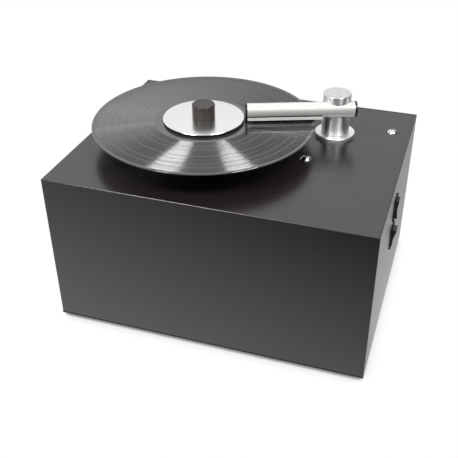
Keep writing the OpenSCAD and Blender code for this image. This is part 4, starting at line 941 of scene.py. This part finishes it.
class CLEANER_OT_stage(PieceOperator, bpy.types.Operator):
    """Sets the floor, the white surround, the lamps and the camera"""

    bl_idname = "cleaner.stage"
    bl_label = "Studio"

    # Brightness of the room in a mirror, by degrees from the backdrop's foot over the ceiling
    room_levels = (
        (1, 0.5), (18, 0.6), (22, 0.66), (25, 0.97), (37, 1.02), (60, 0.72), (75, 0.5), (98, 0.5),
        (110, 0.5), (121, 0.6), (133, 1.3), (145, 1.2), (158, 1.0), (179, 0.8),
    )
    brightest = 1.4
    # Brightness of the room to matt surfaces
    sky_light = 0.45
    # Level directions: along the floor to the backdrop, to the backdrop's middle and to its left
    floor_way = (-0.3, 0.95, 0)
    back_way = (-0.35, 0.94, 0)
    left_way = (-0.92, 0.39, 0)
    # Half the floor's side, and how far the shade round the feet reaches
    floor_half = 6.0
    shade_reach = 0.03
    # Softboxes beside the camera: azimuth, elevation and share of their light on matt surfaces
    keys = (("key_left", -129, 57, 1.3), ("key_right", -25, 58, 0.35))
    key_distance, key_side = 1.25, 0.37
    fill_distance, fill_side = 1.6, 1.4
    aim = Vector((0, 0, 0.12))
    # The camera's place and direction, and how far the photo's middle lies off that direction
    eye = Vector((0.27265, -0.88458, 0.69715))
    look = Vector((-0.25301, 0.78958, -0.55906))
    shift = (-0.0272, 0.0019)

    def execute(self, context):
        self.floor()
        self.surround()
        # The two softboxes draw the wedges of light on the record
        for name, azimuth, elevation, share in self.keys:
            power = studio().key_power
            key = self.lamp(name, azimuth, elevation, self.key_distance, self.key_side, power)
            key.data.diffuse_factor = share
        # A broad lamp from above and behind fills the shade and shows in no mirror
        power = studio().fill_power
        fill = self.lamp("fill_top", 90, 78, self.fill_distance, self.fill_side, power)
        fill.data.specular_factor = 0.0
        self.camera()
        return {"FINISHED"}

    def floor(self):
        """A sweep of white paper under and behind the machine."""
        mesh = bpy.data.meshes.new("studio_floor")
        shape = bmesh.new()
        bmesh.ops.create_grid(shape, x_segments=1, y_segments=1, size=self.floor_half)
        shape.to_mesh(mesh)
        shape.free()
        plane = bpy.data.objects.new("studio_floor", mesh)
        bpy.context.scene.collection.objects.link(plane)
        # The camera sees the paper white, but for the shade close round the feet, which comes
        # from how much of the room the paper there can see
        paper = bpy.data.materials.new("paper_sweep")
        paper.use_nodes = True
        tree = paper.node_tree
        tree.nodes.clear()
        light = add(tree, "LightPath").outputs
        inputs = {"Distance": self.shade_reach}
        shade = add(tree, "AmbientOcclusion", inputs, samples=8).outputs["AO"]
        contact = spread(tree, shade, 0.25, 1.0, 0.25, 0.6)
        # Mirrors see the paper dark well before the machine and bright from there to behind it,
        # a little less bright past its right side and towards its back
        glow = spread(tree, along(tree, place(tree), self.floor_way), 0.02, 1.05, -0.58, -0.13)
        axes = add(tree, "SeparateXYZ", {0: place(tree)}).outputs
        glow = math_of(tree, "MULTIPLY", glow, spread(tree, axes["X"], 1.0, 0.82, 0.2, 0.25))
        glow = math_of(tree, "MULTIPLY", glow, spread(tree, axes["Y"], 1.0, 0.88, 0.0, 0.25))
        seen = math_of(tree, "MAXIMUM", light["Is Camera Ray"], light["Is Glossy Ray"])
        bright = add(tree, "Mix", {"Factor": light["Is Glossy Ray"], 2: contact, 3: glow}).outputs[0]
        white = add(tree, "Emission", {"Color": (1, 1, 1, 1), "Strength": bright})
        matt = add(tree, "BsdfDiffuse", {"Color": (0.8, 0.8, 0.8, 1)})
        both = add(tree, "MixShader", {0: seen, 1: matt.outputs[0], 2: white.outputs[0]})
        add(tree, "OutputMaterial", {"Surface": both.outputs[0]})
        mesh.materials.append(paper)

    def surround(self):
        """A room that the camera sees white, matt surfaces grey and mirrors by its levels."""
        world = bpy.data.worlds.new("white_studio")
        bpy.context.scene.world = world
        world.use_nodes = True
        tree = world.node_tree
        tree.nodes.clear()
        light = add(tree, "LightPath").outputs
        way = add(tree, "TexCoord").outputs["Generated"]
        # Mirrors see the room by a curve from the foot of the backdrop, over the dim ceiling, to
        # the bright wall above the camera and down to the floor before it
        axes = add(tree, "SeparateXYZ", {0: way}).outputs
        over = math_of(tree, "ARCTAN2", axes["Z"], along(tree, way, self.back_way))
        curve = add(tree, "ValToRGB", {0: spread(tree, over, 0, 1, 0, math.pi)})
        for at, level in self.room_levels:
            stop = curve.color_ramp.elements.new(at / 180)
            stop.color = rgba([level / self.brightest] * 3)
        for end in (0, -1):
            curve.color_ramp.elements.remove(curve.color_ramp.elements[end])
        room = math_of(tree, "MULTIPLY", curve.outputs[0], self.brightest)
        # Low down it is dim except to the left, and its right end is dim at every height
        low = spread(tree, along(tree, way, self.left_way), 0.08, 2.7, 0.42, 1.0)
        room = math_of(tree, "MULTIPLY", room, spread(tree, axes["Z"], low, 1.0, 0.05, 0.4))
        room = math_of(tree, "MULTIPLY", room, spread(tree, axes["X"], 1.0, 0.25, 0.3, 0.55))
        inputs = {"Factor": light["Is Glossy Ray"], 2: self.sky_light, 3: room}
        lit = add(tree, "Mix", inputs).outputs[0]
        seen = add(tree, "Mix", {"Factor": light["Is Camera Ray"], 2: lit, 3: 1.0}).outputs[0]
        sky = add(tree, "Background", {"Color": (1, 1, 1, 1), "Strength": seen})
        add(tree, "OutputWorld", {"Surface": sky.outputs[0]})

    def lamp(self, name, azimuth, elevation, distance, side, power):
        """A square softbox that faces the machine."""
        data = bpy.data.lights.new(name, "AREA")
        data.shape = "SQUARE"
        data.size = side
        data.energy = power
        lamp = bpy.data.objects.new(name, data)
        a, e = math.radians(azimuth), math.radians(elevation)
        out = Vector((math.cos(e) * math.cos(a), math.cos(e) * math.sin(a), math.sin(e)))
        lamp.location = self.aim + out * distance
        lamp.rotation_euler = out.to_track_quat("Z", "Y").to_euler()
        bpy.context.scene.collection.objects.link(lamp)
        return lamp

    def camera(self):
        """The photo's camera."""
        data = bpy.data.cameras.new("camera")
        data.sensor_width = 36
        data.lens = studio().lens
        data.shift_x, data.shift_y = self.shift
        data.clip_start = 0.05
        data.clip_end = 20
        camera = bpy.data.objects.new("camera", data)
        camera.location = self.eye
        camera.rotation_euler = self.look.to_track_quat("-Z", "Y").to_euler()
        bpy.context.scene.collection.objects.link(camera)
        bpy.context.scene.camera = camera
        bpy.context.scene.view_settings.view_transform = "Standard"


class CLEANER_PT_panel(bpy.types.Panel):
    """Lists the colours and sizes of the machine, and the operators that make it"""

    bl_idname = "CLEANER_PT_panel"
    bl_label = "Record cleaning machine"
    bl_space_type = "VIEW_3D"
    bl_region_type = "UI"
    bl_category = "Record cleaner"

    def draw(self, context):
        scene = context.scene
        for group in (scene.cleaner_colours, scene.cleaner_sizes, scene.cleaner_studio):
            box = self.layout.box()
            for name in group.bl_rna.properties.keys():
                if name not in ("rna_type", "name"):
                    box.prop(group, name)
        for piece in PIECES:
            self.layout.operator(piece.bl_idname)


PIECES = (
    CLEANER_OT_cabinet,
    CLEANER_OT_record,
    CLEANER_OT_clamp,
    CLEANER_OT_arm,
    CLEANER_OT_velvet,
    CLEANER_OT_drive,
    CLEANER_OT_tank,
    CLEANER_OT_vacuum,
    CLEANER_OT_electrics,
    CLEANER_OT_stage,
)
CLASSES = (CleanerColours, CleanerSizes, CleanerStudio, *PIECES, CLEANER_PT_panel)


def register():
    for made in CLASSES:
        bpy.utils.register_class(made)
    bpy.types.Scene.cleaner_colours = PointerProperty(type=CleanerColours)
    bpy.types.Scene.cleaner_sizes = PointerProperty(type=CleanerSizes)
    bpy.types.Scene.cleaner_studio = PointerProperty(type=CleanerStudio)


def unregister():
    del bpy.types.Scene.cleaner_colours
    del bpy.types.Scene.cleaner_sizes
    del bpy.types.Scene.cleaner_studio
    for made in reversed(CLASSES):
        bpy.utils.unregister_class(made)


def main():
    """Dresses the machine and sets the stage."""
    register()
    bpy.ops.cleaner.cabinet()
    bpy.ops.cleaner.record()
    bpy.ops.cleaner.clamp()
    bpy.ops.cleaner.arm()
    bpy.ops.cleaner.velvet()
    bpy.ops.cleaner.drive()
    bpy.ops.cleaner.tank()
    bpy.ops.cleaner.vacuum()
    bpy.ops.cleaner.electrics()
    bpy.ops.cleaner.stage()


if __name__ == "__main__":
    main()
